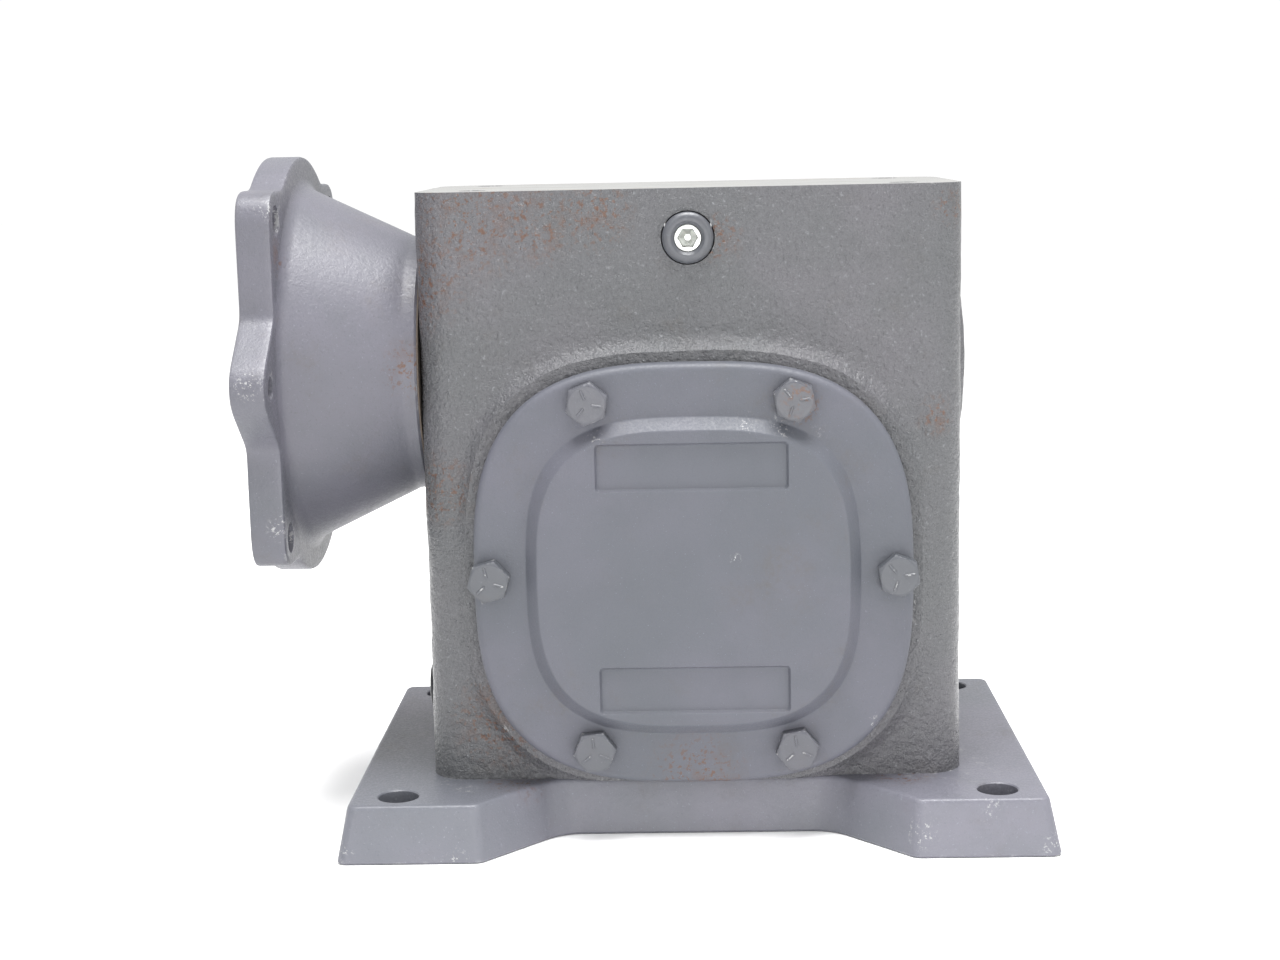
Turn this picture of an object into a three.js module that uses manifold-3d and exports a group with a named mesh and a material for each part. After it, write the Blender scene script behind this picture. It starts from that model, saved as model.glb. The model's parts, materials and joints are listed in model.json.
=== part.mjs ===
// Worm gear reducer with a motor flange, a closed front cover and one output shaft, on a bolt-on base.
// Millimetres, +Z up. The origin is the middle of the base's underside. The worm lies along X, with the
// motor flange at -X. The output shaft lies along Y, below the worm, and comes out at +Y.
import * as THREE from "three";
import { mergeVertices } from "three/addons/utils/BufferGeometryUtils.js";
import Module from "manifold-3d";

const wasm = await Module();
wasm.setup();

// ---------------------------------------------------------------- driving dimensions
const CENTRE_DISTANCE = 66.75; // worm axis to output axis
const OUTPUT_Z = 91.25; // output axis above the floor
const WORM_Z = OUTPUT_Z + CENTRE_DISTANCE;
const CLEARANCE = 0.3; // radial gap between round pieces that fit into each other

const BASE = { halfX: 119.5, halfY: 81, height: 19, draftX: 4, draftY: 2.5 };
const WAIST = { footX: 71.5, neckX: 46, neckY: 51 }; // where the base draws in between its feet
const BASE_HOLE = { x: 100, y: 66.5, radius: 6.75 };
const BODY = { halfX: 91, halfY: 49, top: 218.75, corner: 12, wall: 9 };
const PAD = { height: 3.5, margin: 3, draft: 5.5 }; // raised ring that a cover sits on
const TAPPED = { x: 72, y: 33, radius: 4, depth: 16 }; // holes in the top and bottom faces
const CORNER_BOSS = { width: 22, height: 24 }; // thick places inside the casing, for the tapped holes
const INPUT_BOSS = { radius: 42, depth: 25 };
const TAIL_BOSS = { radius: 32, depth: 29, outerR: 28.5, outerHeight: 2.6 };

const COVER = { a: 73, b: 71, power: 2.9, flange: 7.5, boltCircle: 67.75, bolts: 6 };
const PANEL = { a: 55.5, b: 53.5, power: 3.1, rise: 4.5, taper: 4 };
const LABEL = { width: 63, height: 15.5, z: 37.5, depth: 1.5 };
const GASKET = 0.5;
const SPIGOT = { radius: 56.5, depth: 8, wall: 6 };
const HUB = { wall: 7, inner: 37 }; // ring round an output bearing, up to this far from the middle
const NOSE = { foot: 34, tip: 30, from: 58, end: 73 }; // rear cover's cone round the shaft

const FLANGE = { face: -146.25, thick: 11.5, disc: 73, square: 62.5, corner: 10, lobeTip: 84, lobeHalf: 9 };
const MOTOR_HOLE = { offset: 52.75, radius: 5.15 }; // four holes at 45 degrees on a 149.2 mm circle
const SIDE_HOLE = { offset: 74.6, radius: 3.9 };
const CONE = { wide: 61, narrow: 44.5, sleeve: 5.5, wall: 5.5, floor: 8 };
const PILOT = { radius: 57.15, depth: 4.5, shoulderR: 51.5 };

const GEAR = { teeth: 30, face: 24, hubR: 36, boreR: 19 };
const WORM = { pitchR: 18, threadHalf: 26, shoulder: 32, collarR: 15, quillEnd: -104, tailEnd: 84 };
const WORM_BORE = { radius: 7.94, depth: 58, keyWidth: 4.76, keyReach: 2.4 };
const PITCH_R = CENTRE_DISTANCE - WORM.pitchR;
const MODULE = (2 * PITCH_R) / GEAR.teeth;
const AXIAL_PITCH = Math.PI * MODULE;
const PRESSURE = THREE.MathUtils.degToRad(20);
const BACKLASH = 0.3; // taken from each side of a tooth and of the thread

const INPUT_BEARING = { x: -76, width: 12, bore: 12.5, outer: 23.5, balls: 9, ballR: 3.3 };
const TAIL_BEARING = { x: 73.5, width: 15, bore: 10, outer: 26, balls: 7, ballR: 4.6 };
const INPUT_STOP = { x: -69.7, innerR: 20, end: -60 }; // ledge that the input bearing seats on
const TAIL_STOP = { x: 65.7, innerR: 22.5, end: 60 };
const OUTPUT_BEARING = { y: 49, width: 16, bore: 17.5, outer: 31, rollers: 12, rollerR: 3.1 };
const SHAFT = { end: 146, radius: 14.25, sealR: 15, sealEnd: 76, collarR: 21, collarFrom: 16.3, gearR: 18.7 };
const JOURNAL = { from: 40, to: 57 }; // stretch of the output shaft inside a taper bearing
const OUTPUT_SEAL = { outer: 24, from: 65, to: 72 };
const INPUT_SEAL = { from: -90, to: -83 };
const KEY = { width: 6.35, height: 6.35, length: 50, fromEnd: 4 };
const WHEEL_KEY = { width: 8, height: 5.6, length: 29 };

const BOLT = { shank: 3.8, flats: 12.7, head: 5.25, length: 19, holeFrom: 38, holeTo: 60 };
const BASE_BOLT = { shank: 4.4, flats: 14.3, head: 6, length: 24, seat: 10, counterbore: 11 };
const CAP_SCREW = { shank: 3.8, headR: 5.95, head: 8, length: 20, circle: 31.5, socket: 6.35, holeDepth: 15 };
const PLUG = { radius: 8.5, length: 12, proud: 2.5, socket: 7.94, socketDepth: 7 };
const FRONT_PLUG_Z = 202.5;
const DRAIN = { y: -18, z: 45 };
const TAIL_CAP = { from: 83, floor: 87.5, to: 92.9, rim: 24 }; // pressed plug that closes the worm's tail bore

const SMALL = 8; // facets of a bolt hole
const ROUND = 16; // facets of a round piece
const FINE = 24; // facets of a large bore

// ---------------------------------------------------------------- materials
const paint = (color, roughness) => new THREE.MeshStandardMaterial({ color, roughness, metalness: 0.1 });
const metal = (color, roughness) => new THREE.MeshStandardMaterial({ color, roughness, metalness: 0.9 });
const MATERIAL = {
  castPaint: paint(0x7f838a, 0.6),
  smoothPaint: paint(0x868b94, 0.5),
  boltPaint: paint(0x8a8f98, 0.45),
  zinc: metal(0xb9bcb4, 0.3),
  blackSteel: metal(0x26282b, 0.5),
  steel: metal(0xa9abad, 0.28),
  bearingSteel: metal(0xc3c6c9, 0.2),
  bronze: metal(0xb48a4a, 0.35),
  castIron: metal(0x5c5d5f, 0.6),
  brassCage: metal(0xc4a35a, 0.35),
  rubber: paint(0x2a211c, 0.8),
  gasket: paint(0x4a4036, 0.9),
};

// ---------------------------------------------------------------- solids
const WELD = 0.02; // edges shorter than this are closed up

// A closed surface as a solid that can be cut and joined.
function solid(geometry) {
  const bare = new THREE.BufferGeometry().setAttribute("position", geometry.getAttribute("position"));
  if (geometry.index) bare.setIndex(geometry.index);
  const merged = mergeVertices(bare, 1e-4);
  const vertProperties = merged.attributes.position.array;
  const triVerts = new Uint32Array(merged.index.array);
  return new wasm.Manifold(new wasm.Mesh({ numProp: 3, vertProperties, triVerts }));
}

// A solid's surface.
function geometryOf(made) {
  const mesh = made.simplify(WELD).getMesh();
  const position = new Float32Array(mesh.numVert * 3);
  for (let i = 0; i < mesh.numVert; i++) {
    position.set(mesh.vertProperties.subarray(i * mesh.numProp, i * mesh.numProp + 3), i * 3);
  }
  return new THREE.BufferGeometry()
    .setAttribute("position", new THREE.BufferAttribute(position, 3))
    .setIndex(new THREE.BufferAttribute(mesh.triVerts, 1));
}

const cut = (body, ...tools) => tools.reduce((left, tool) => left.subtract(tool), body);
const join = (body, ...others) => others.reduce((sum, other) => sum.add(other), body);
const box = (x, y, z, at) => solid(new THREE.BoxGeometry(x, y, z).translate(...at));

// A cylinder from a to b along one axis, centred on the other two coordinates of at.
function rod(axis, radius, from, to, at = [0, 0, 0], sides = ROUND, endRadius = radius) {
  const made = new THREE.CylinderGeometry(endRadius, radius, to - from, sides);
  made.translate(0, (from + to) / 2, 0);
  if (axis === "x") made.rotateZ(-Math.PI / 2);
  if (axis === "z") made.rotateX(Math.PI / 2);
  return solid(made.translate(...at));
}

// A ring or turned piece: closed profile points [radius, station] turned about an axis.
function turned(axis, profile, sides = ROUND) {
  const points = [...profile, profile[0]].map(([radius, station]) => new THREE.Vector2(radius, station));
  const area = points.slice(1).reduce((sum, p, i) => sum + points[i].x * p.y - p.x * points[i].y, 0);
  const made = new THREE.LatheGeometry(area > 0 ? points : points.reverse(), sides);
  if (axis === "x") made.rotateZ(-Math.PI / 2);
  if (axis === "z") made.rotateX(Math.PI / 2);
  return made;
}

const ring = (inner, outer, from, to) => [[inner, from], [outer, from], [outer, to], [inner, to]];

const polar = (radius, angle) => new THREE.Vector2(radius * Math.cos(angle), radius * Math.sin(angle));

// A rounded square, as a superellipse grown by a margin.
function squircle({ a, b, power }, margin = 0) {
  const steps = 36;
  const points = [];
  for (let i = 0; i < steps; i++) {
    const t = (2 * Math.PI * i) / steps;
    const across = Math.abs(Math.cos(t) / (a + margin)) ** power;
    const upward = Math.abs(Math.sin(t) / (b + margin)) ** power;
    points.push(polar((across + upward) ** (-1 / power), t));
  }
  return new THREE.Shape(points);
}

function roundedRectangle(halfX, halfY, corner) {
  const shape = new THREE.Shape();
  shape.absarc(halfX - corner, halfY - corner, corner, 0, Math.PI / 2);
  shape.absarc(corner - halfX, halfY - corner, corner, Math.PI / 2, Math.PI);
  shape.absarc(corner - halfX, corner - halfY, corner, Math.PI, 1.5 * Math.PI);
  shape.absarc(halfX - corner, corner - halfY, corner, 1.5 * Math.PI, 2 * Math.PI);
  return shape;
}

// A shape pushed along +z, with its far end scaled.
function extruded(shape, depth, scaleX = 1, scaleY = scaleX, curveSegments = 4) {
  const made = new THREE.ExtrudeGeometry(shape, { depth, bevelEnabled: false, curveSegments });
  const p = made.attributes.position;
  for (let i = 0; i < p.count; i++) {
    if (p.getZ(i) > depth / 2) p.setXY(i, p.getX(i) * scaleX, p.getY(i) * scaleY);
  }
  return made;
}

// Stands an extruded shape up, so that it is pushed along -y from y0, centred on the output axis.
const facingFront = (geometry, y0) => geometry.rotateX(Math.PI / 2).translate(0, y0, OUTPUT_Z);

function hexagon(flats) {
  const corner = flats / Math.sqrt(3);
  return new THREE.Shape([0, 1, 2, 3, 4, 5].map((i) => polar(corner, (i * Math.PI) / 3)));
}

const group = new THREE.Group();
function add(name, geometry, material, place = {}) {
  const mesh = new THREE.Mesh(geometry.isBufferGeometry ? geometry : geometryOf(geometry), material);
  mesh.name = name;
  mesh.position.set(...(place.at ?? [0, 0, 0]));
  mesh.rotation.set(...(place.turn ?? [0, 0, 0]));
  (place.parent ?? group).add(mesh);
  return mesh;
}

const onCircle = (count, radius, first) =>
  Array.from({ length: count }, (_, i) => polar(radius, first + (2 * Math.PI * i) / count).toArray());
const corners = (x, y) => [[-x, -y], [x, -y], [x, y], [-x, y]];
const COVER_BOLTS = onCircle(COVER.bolts, COVER.boltCircle, 0);
const FLANGE_SCREWS = onCircle(4, CAP_SCREW.circle, Math.PI / 4);

// ---------------------------------------------------------------- base
function basePlate() {
  const { halfX, halfY, height, draftX, draftY } = BASE;
  const { footX, neckX, neckY } = WAIST;
  const quarter = [[halfX, 0], [halfX, halfY], [footX, halfY], [neckX, neckY], [0, neckY]];
  const mirrored = (sx, sy) => quarter.map(([x, y]) => new THREE.Vector2(sx * x, sy * y));
  const around = [
    ...mirrored(1, 1).slice(1, -1),
    ...mirrored(-1, 1).reverse().slice(1, -1),
    ...mirrored(-1, -1).slice(1, -1),
    ...mirrored(1, -1).reverse().slice(1, -1),
  ];
  const plate = extruded(new THREE.Shape(around), height, 1 - draftX / halfX, 1 - draftY / halfY);
  const footHoles = corners(BASE_HOLE.x, BASE_HOLE.y).map(([x, y]) =>
    rod("z", BASE_HOLE.radius, -1, height + 1, [x, y, 0]));
  const boltHoles = corners(TAPPED.x, TAPPED.y).flatMap(([x, y]) => [
    rod("z", BASE_BOLT.shank + CLEARANCE, -1, height + 1, [x, y, 0]),
    rod("z", BASE_BOLT.counterbore, -1, BASE_BOLT.seat, [x, y, 0]),
  ]);
  return cut(solid(plate), ...footHoles, ...boltHoles);
}

// ---------------------------------------------------------------- housing
function coverPad() {
  const wide = squircle(COVER, PAD.margin + PAD.draft);
  const shrink = (COVER.a + PAD.margin) / (COVER.a + PAD.margin + PAD.draft);
  return solid(facingFront(extruded(wide, PAD.height, shrink), -BODY.halfY));
}

// A round bore turned about the worm's axis.
const wormBore = (profile) => solid(turned("x", profile, FINE).translate(0, 0, WORM_Z));

function housing() {
  const bottom = BASE.height;
  const { halfX, halfY, top, corner, wall } = BODY;
  const body = roundedRectangle(halfX, halfY, corner);
  const inner = roundedRectangle(halfX - wall, halfY - wall, corner - 4);
  const block = solid(extruded(body, top - bottom).translate(0, 0, bottom));
  const chamber = solid(extruded(inner, top - bottom - 2 * wall).translate(0, 0, bottom + wall));
  const onWorm = [0, 0, WORM_Z];
  const thick = [
    rod("x", INPUT_BOSS.radius, -halfX, INPUT_BOSS.depth - halfX, onWorm, FINE),
    rod("x", TAIL_BOSS.radius, halfX - TAIL_BOSS.depth, halfX + 1, onWorm, FINE),
  ];
  const { width, height } = CORNER_BOSS;
  for (const [x, y] of corners(TAPPED.x, TAPPED.y)) {
    thick.push(box(width, width, height, [x, y, bottom + height / 2]));
    thick.push(box(width, width, height, [x, y, top - height / 2]));
  }
  const shell = block.subtract(chamber).add(join(...thick).intersect(block));
  const aboveBase = box(3 * halfX, 3 * halfY, top, [0, 0, bottom + top / 2]);
  const pad = coverPad().intersect(aboveBase);
  const tailPad = rod("x", TAIL_BOSS.outerR, halfX - 1, halfX + TAIL_BOSS.outerHeight, onWorm, FINE);
  return cut(join(shell, pad, pad.mirror([0, 1, 0]), tailPad), ...housingBores(), ...housingHoles());
}

function housingBores() {
  const inputR = INPUT_BEARING.outer + CLEARANCE;
  const tailR = TAIL_BEARING.outer + CLEARANCE;
  const outside = BODY.halfX + 10;
  return [
    rod("y", SPIGOT.radius + CLEARANCE, -BODY.halfX, BODY.halfX, [0, 0, OUTPUT_Z], FINE),
    wormBore([
      [0, -outside], [inputR, -outside], [inputR, INPUT_STOP.x],
      [INPUT_STOP.innerR, INPUT_STOP.x], [INPUT_STOP.innerR, INPUT_STOP.end], [0, INPUT_STOP.end],
    ]),
    wormBore([
      [0, TAIL_STOP.end], [TAIL_STOP.innerR, TAIL_STOP.end], [TAIL_STOP.innerR, TAIL_STOP.x],
      [tailR, TAIL_STOP.x], [tailR, outside], [0, outside],
    ]),
  ];
}

function housingHoles() {
  const { halfX, halfY, top, wall } = BODY;
  const bottom = BASE.height;
  const holes = [];
  for (const [x, z] of COVER_BOLTS) {
    const at = [x, 0, OUTPUT_Z + z];
    holes.push(rod("y", BOLT.shank + CLEARANCE, -BOLT.holeTo, -BOLT.holeFrom, at, SMALL));
    holes.push(rod("y", BOLT.shank + CLEARANCE, BOLT.holeFrom, BOLT.holeTo, at, SMALL));
  }
  for (const [x, y] of corners(TAPPED.x, TAPPED.y)) {
    holes.push(rod("z", BASE_BOLT.shank + CLEARANCE, bottom - 1, bottom + TAPPED.depth, [x, y, 0], SMALL));
    holes.push(rod("z", TAPPED.radius, top - TAPPED.depth, top + 1, [x, y, 0], SMALL));
  }
  for (const [y, z] of FLANGE_SCREWS) {
    const at = [0, y, WORM_Z + z];
    holes.push(rod("x", CAP_SCREW.shank + CLEARANCE, -halfX - 1, CAP_SCREW.holeDepth - halfX, at, SMALL));
  }
  const plugR = PLUG.radius + CLEARANCE;
  holes.push(rod("y", plugR, -halfY - 1, 1 - halfY + wall, [0, 0, FRONT_PLUG_Z]));
  holes.push(rod("y", plugR, halfY - wall - 1, halfY + 1, [0, 0, FRONT_PLUG_Z]));
  holes.push(rod("x", plugR, -halfX - 1, 1 - halfX + wall, [0, DRAIN.y, DRAIN.z]));
  return holes;
}

// ---------------------------------------------------------------- covers
const COVER_SEAT = BODY.halfY + PAD.height + GASKET; // underside of each cover's plate
const onOutput = [0, 0, OUTPUT_Z];
const coverBoltHoles = () => COVER_BOLTS.map(([x, z]) =>
  rod("y", BOLT.shank + CLEARANCE, -BODY.halfX, -BOLT.holeFrom, [x, 0, OUTPUT_Z + z], SMALL));

function coverPlate() {
  const y0 = -COVER_SEAT;
  const hubR = OUTPUT_BEARING.outer + HUB.wall;
  const plate = solid(facingFront(extruded(squircle(COVER), COVER.flange), y0));
  const spigot = rod("y", SPIGOT.radius, y0, y0 + SPIGOT.depth, onOutput, FINE);
  const hub = rod("y", hubR, y0, -HUB.inner, onOutput, FINE);
  const groove = turned("y", ring(hubR, SPIGOT.radius - SPIGOT.wall, y0 + 1, y0 + SPIGOT.depth + 1), FINE);
  const relief = solid(groove.translate(...onOutput));
  return cut(join(plate, spigot, hub), relief, ...coverBoltHoles());
}

function bearingSeat() {
  const floor = OUTPUT_BEARING.y + OUTPUT_BEARING.width / 2 + CLEARANCE;
  return rod("y", OUTPUT_BEARING.outer + CLEARANCE, -floor, 1 - HUB.inner, onOutput, FINE);
}

function frontCover() {
  const sunk = 0.5; // overlap that joins the raised panel to the plate
  const y0 = sunk - COVER_SEAT - COVER.flange;
  const shrink = (PANEL.a - PANEL.taper) / PANEL.a;
  const panel = solid(facingFront(extruded(squircle(PANEL), PANEL.rise + sunk, shrink), y0));
  const face = y0 - PANEL.rise - sunk;
  const labels = [-1, 1].map((side) =>
    box(LABEL.width, 2 * LABEL.depth, LABEL.height, [0, face, OUTPUT_Z + side * LABEL.z]));
  return cut(coverPlate().add(panel), bearingSeat(), ...labels);
}

function rearCover() {
  const nose = rod("y", NOSE.tip, -NOSE.end, -NOSE.from, onOutput, FINE, NOSE.foot);
  const seatR = OUTPUT_SEAL.outer + CLEARANCE;
  const sealSeat = rod("y", seatR, -NOSE.end - 1, CLEARANCE - OUTPUT_SEAL.from, onOutput, FINE);
  const passage = rod("y", SHAFT.sealR + 2, 1 - NOSE.end, 1 - HUB.inner, onOutput);
  return cut(coverPlate().add(nose), bearingSeat(), sealSeat, passage).mirror([0, 1, 0]);
}

function coverGasket() {
  const sheet = solid(facingFront(extruded(squircle(COVER, -0.5), GASKET), GASKET - COVER_SEAT));
  const middle = rod("y", SPIGOT.radius + CLEARANCE, -BODY.halfX, 0, onOutput, FINE);
  return cut(sheet, middle, ...coverBoltHoles());
}

// ---------------------------------------------------------------- motor flange
const FLANGE_FOOT = -BODY.halfX - GASKET; // where the flange casting meets its gasket
const onWormLine = [0, 0, WORM_Z];
const flangeScrewHoles = () => FLANGE_SCREWS.map(([y, z]) =>
  rod("x", CAP_SCREW.shank + CLEARANCE, FLANGE_FOOT - 20, 1 - BODY.halfX, [0, y, WORM_Z + z], SMALL));

function motorFlange() {
  const { face, thick, disc, square, corner, lobeTip, lobeHalf } = FLANGE;
  const back = face + thick;
  const upright = (shape) =>
    solid(extruded(shape, thick).rotateZ(Math.PI / 2).rotateY(Math.PI / 2).translate(face, 0, WORM_Z));
  const sleeveFrom = FLANGE_FOOT - CONE.sleeve;
  const casting = join(
    rod("x", disc, face, back, onWormLine, FINE),
    upright(roundedRectangle(square, square, corner)),
    upright(sideLobes(lobeTip, lobeHalf)),
    rod("x", CONE.wide, back - 1, sleeveFrom, onWormLine, FINE, CONE.narrow),
    rod("x", CONE.narrow, sleeveFrom - 1, FLANGE_FOOT, onWormLine, FINE),
  );
  const floor = FLANGE_FOOT - CONE.floor;
  const inside = wormBore([
    [0, face - 1], [PILOT.radius, face - 1], [PILOT.radius, face + PILOT.depth],
    [PILOT.shoulderR, face + PILOT.depth], [PILOT.shoulderR, back],
    [CONE.narrow - CONE.wall, floor], [0, floor],
  ]);
  const shaftHole = rod("x", INPUT_BEARING.bore + 4.5, floor - 1, FLANGE_FOOT + 1, onWormLine);
  const motorHoles = corners(MOTOR_HOLE.offset, MOTOR_HOLE.offset).map(([y, z]) =>
    rod("x", MOTOR_HOLE.radius, face - 1, back + 1, [0, y, WORM_Z + z]));
  const sideHoles = [-1, 1].map((side) =>
    rod("x", SIDE_HOLE.radius, face - 1, back + 1, [0, side * SIDE_HOLE.offset, WORM_Z]));
  return cut(casting, inside, shaftHole, ...motorHoles, ...sideHoles, ...flangeScrewHoles());
}

// The pointed lobes at the two sides of the flange, each with straight flanks and a round tip.
function sideLobes(tip, half) {
  const shape = new THREE.Shape();
  const root = { x: 50, z: 34 };
  const sweep = 0.9;
  shape.moveTo(-root.x, -root.z);
  shape.lineTo(root.x, -root.z);
  shape.absarc(tip - half, 0, half, -sweep, sweep);
  shape.lineTo(root.x, root.z);
  shape.lineTo(-root.x, root.z);
  shape.absarc(half - tip, 0, half, Math.PI - sweep, Math.PI + sweep);
  return shape;
}

function flangeGasket() {
  const sheet = rod("x", CONE.narrow - 0.5, FLANGE_FOOT, -BODY.halfX, onWormLine, FINE);
  const middle = rod("x", INPUT_BEARING.outer + CLEARANCE, FLANGE_FOOT - 1, 1 - BODY.halfX, onWormLine, FINE);
  return cut(sheet, middle, ...flangeScrewHoles());
}

// ---------------------------------------------------------------- worm and wheel
// The worm's threaded part: its cross-section turns once for each axial pitch, a right-handed helix.
// The thread's middle is straight below the axis at x = 0.
function wormThread(rootR, tipR) {
  const half = (r) => AXIAL_PITCH / 4 - BACKLASH + (WORM.pitchR - r) * Math.tan(PRESSURE);
  const toAngle = (2 * Math.PI) / AXIAL_PITCH;
  const points = [];
  for (const side of [-1, 1]) {
    for (const share of side < 0 ? [0, 0.33, 0.67, 1] : [1, 0.67, 0.33, 0]) {
      const r = rootR + share * (tipR - rootR);
      points.push([r, side * half(r) * toAngle]);
    }
    if (side < 0) points.push([tipR, 0]);
  }
  const rest = 2 * Math.PI - 2 * half(rootR) * toAngle;
  for (const share of [0.25, 0.5, 0.75]) points.push([rootR, half(rootR) * toAngle + share * rest]);
  const shape = new THREE.Shape(points.map(([r, t]) => polar(r, t)));
  const length = 2 * WORM.threadHalf;
  const steps = Math.round((length / AXIAL_PITCH) * 10);
  const made = new THREE.ExtrudeGeometry(shape, { depth: length, steps, bevelEnabled: false });
  made.translate(0, 0, -length / 2);
  const p = made.attributes.position;
  for (let i = 0; i < p.count; i++) {
    const turn = p.getZ(i) * toAngle;
    const [x, y] = [p.getX(i), p.getY(i)];
    p.setXY(i, x * Math.cos(turn) - y * Math.sin(turn), x * Math.sin(turn) + y * Math.cos(turn));
  }
  return solid(made.rotateY(Math.PI / 2));
}

function wormShaft() {
  const rootR = WORM.pitchR - 1.2 * MODULE;
  const tipR = WORM.pitchR + 0.92 * MODULE;
  const { shoulder, collarR, quillEnd, tailEnd } = WORM;
  const coreR = rootR - 2;
  const body = solid(turned("x", [
    [0, quillEnd], [INPUT_BEARING.bore, quillEnd], [INPUT_BEARING.bore, INPUT_STOP.x - CLEARANCE],
    [collarR, INPUT_STOP.x - CLEARANCE], [collarR, -shoulder], [coreR, -shoulder], [coreR, shoulder],
    [rootR, shoulder], [rootR, TAIL_STOP.x + CLEARANCE], [TAIL_BEARING.bore, TAIL_STOP.x + CLEARANCE],
    [TAIL_BEARING.bore, tailEnd], [0, tailEnd],
  ]));
  const { radius, depth, keyWidth, keyReach } = WORM_BORE;
  const bore = rod("x", radius, quillEnd - 1, quillEnd + depth, [0, 0, 0], 20);
  const keyway = box(depth + 1, keyWidth, 6, [quillEnd + depth / 2, 0, radius + keyReach - 3]);
  return cut(body.add(wormThread(rootR, tipR)), bore, keyway);
}

// Half the angle that a wheel tooth takes at a radius, on an involute.
function toothHalfAngle(r) {
  const involute = (a) => Math.tan(a) - a;
  const here = Math.acos(Math.min(1, (PITCH_R * Math.cos(PRESSURE)) / r));
  return (AXIAL_PITCH / 4 - BACKLASH) / PITCH_R + involute(PRESSURE) - involute(here);
}

function wheelRim() {
  const rootR = PITCH_R - 1.2 * MODULE;
  const tipR = PITCH_R + 1.3 * MODULE;
  const stations = [rootR, PITCH_R, tipR];
  const pitchAngle = (2 * Math.PI) / GEAR.teeth;
  const points = [];
  for (let i = 0; i < GEAR.teeth; i++) {
    const middle = Math.PI / 2 + (i + 0.5) * pitchAngle;
    for (const r of stations) points.push([r, middle - toothHalfAngle(r)]);
    for (const r of [...stations].reverse()) points.push([r, middle + toothHalfAngle(r)]);
  }
  const shape = new THREE.Shape(points.map(([r, t]) => polar(r, t)));
  const made = new THREE.ExtrudeGeometry(shape, { depth: GEAR.face, bevelEnabled: false });
  made.translate(0, 0, -GEAR.face / 2);
  const twist = AXIAL_PITCH / (2 * Math.PI * WORM.pitchR) / PITCH_R;
  const p = made.attributes.position;
  for (let i = 0; i < p.count; i++) {
    const turn = twist * p.getZ(i);
    const [x, y] = [p.getX(i), p.getY(i)];
    p.setXY(i, x * Math.cos(turn) - y * Math.sin(turn), x * Math.sin(turn) + y * Math.cos(turn));
  }
  const throatR = WORM.pitchR - 0.9 * MODULE;
  const throat = solid(new THREE.TorusGeometry(CENTRE_DISTANCE, throatR, 8, 30).rotateX(Math.PI / 2));
  const bore = rod("y", GEAR.hubR + CLEARANCE, -GEAR.face, GEAR.face);
  return cut(solid(made.rotateX(Math.PI / 2)), throat, bore);
}

function wheelHub() {
  const { boreR, hubR } = GEAR;
  const [web, boss] = [31, 27]; // radii of the thin web's edges
  const body = solid(turned("y", [
    [boreR, -16], [boss, -16], [boss, -9], [web, -9], [web, -12], [hubR, -12],
    [hubR, 12], [web, 12], [web, 9], [boss, 9], [boss, 16], [boreR, 16],
  ]));
  return cut(body, box(WHEEL_KEY.width + 0.4, 40, 4.5, [0, 0, boreR + 1.2]));
}

// ---------------------------------------------------------------- shafts and keys
function outputShaft() {
  const { end, radius, sealR, sealEnd, collarR, collarFrom, gearR } = SHAFT;
  const { from, to } = JOURNAL;
  const journalR = OUTPUT_BEARING.bore - CLEARANCE;
  const chamfer = 1.5;
  const body = solid(turned("y", [
    [0, -to], [journalR, -to], [journalR, 1 - from], [gearR, 1 - from], [gearR, collarFrom],
    [collarR, collarFrom], [collarR, from], [journalR, from], [journalR, to], [sealR, to], [sealR, sealEnd],
    [radius, sealEnd], [radius, end - chamfer], [radius - chamfer, end], [0, end],
  ]));
  const wheelKeyway = box(WHEEL_KEY.width + 0.4, WHEEL_KEY.length + 0.4, 6, [0, 0, gearR - 0.2]);
  const middle = end - KEY.fromEnd - KEY.length / 2;
  const endKeyway = box(KEY.width + 0.4, KEY.length + 0.4, 5, [0, middle, radius - 0.9]);
  return cut(body, wheelKeyway, endKeyway);
}

// ---------------------------------------------------------------- bearings
const RUNNING_GAP = 0.8; // between a rolling body and its tracks

// Rings of a ball bearing with grooved tracks, along X and centred on 0.
function ballRings({ width, bore, outer, ballR }) {
  const middle = (bore + outer) / 2;
  const track = ballR + RUNNING_GAP;
  const shoulder = 0.62 * ballR;
  const h = width / 2;
  const [over, under] = [middle + shoulder, middle - shoulder];
  return {
    outer: turned("x", [[outer, -h], [outer, h], [over, h], [middle + track, 0], [over, -h]]),
    inner: turned("x", [[bore, -h], [under, -h], [middle - track, 0], [under, h], [bore, h]]),
  };
}

// Rolling bodies in their cage, as one ring that swells round each of them, along z and centred on 0.
function cagedSet(count, middle, radius, length, slope = 0) {
  const spread = radius / middle;
  const points = [];
  for (const side of [1, -1]) {
    for (let i = 0; i < count; i++) {
      for (const [turn, bulge] of [[-0.9, 0.25], [-0.45, 0.86], [0.45, 0.86], [0.9, 0.25]]) {
        const angle = side * ((2 * Math.PI * i) / count + turn * spread);
        points.push(polar(middle + side * bulge * radius, angle));
      }
    }
  }
  const shape = new THREE.Shape(points.slice(0, 4 * count));
  shape.holes.push(new THREE.Path(points.slice(4 * count)));
  const end = 1 - (slope * length) / middle;
  return extruded(shape, length, end).translate(0, 0, -length / 2);
}

const ballCage = ({ bore, outer, balls, ballR }) =>
  cagedSet(balls, (bore + outer) / 2, ballR, 1.1 * ballR).rotateY(Math.PI / 2);

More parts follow.
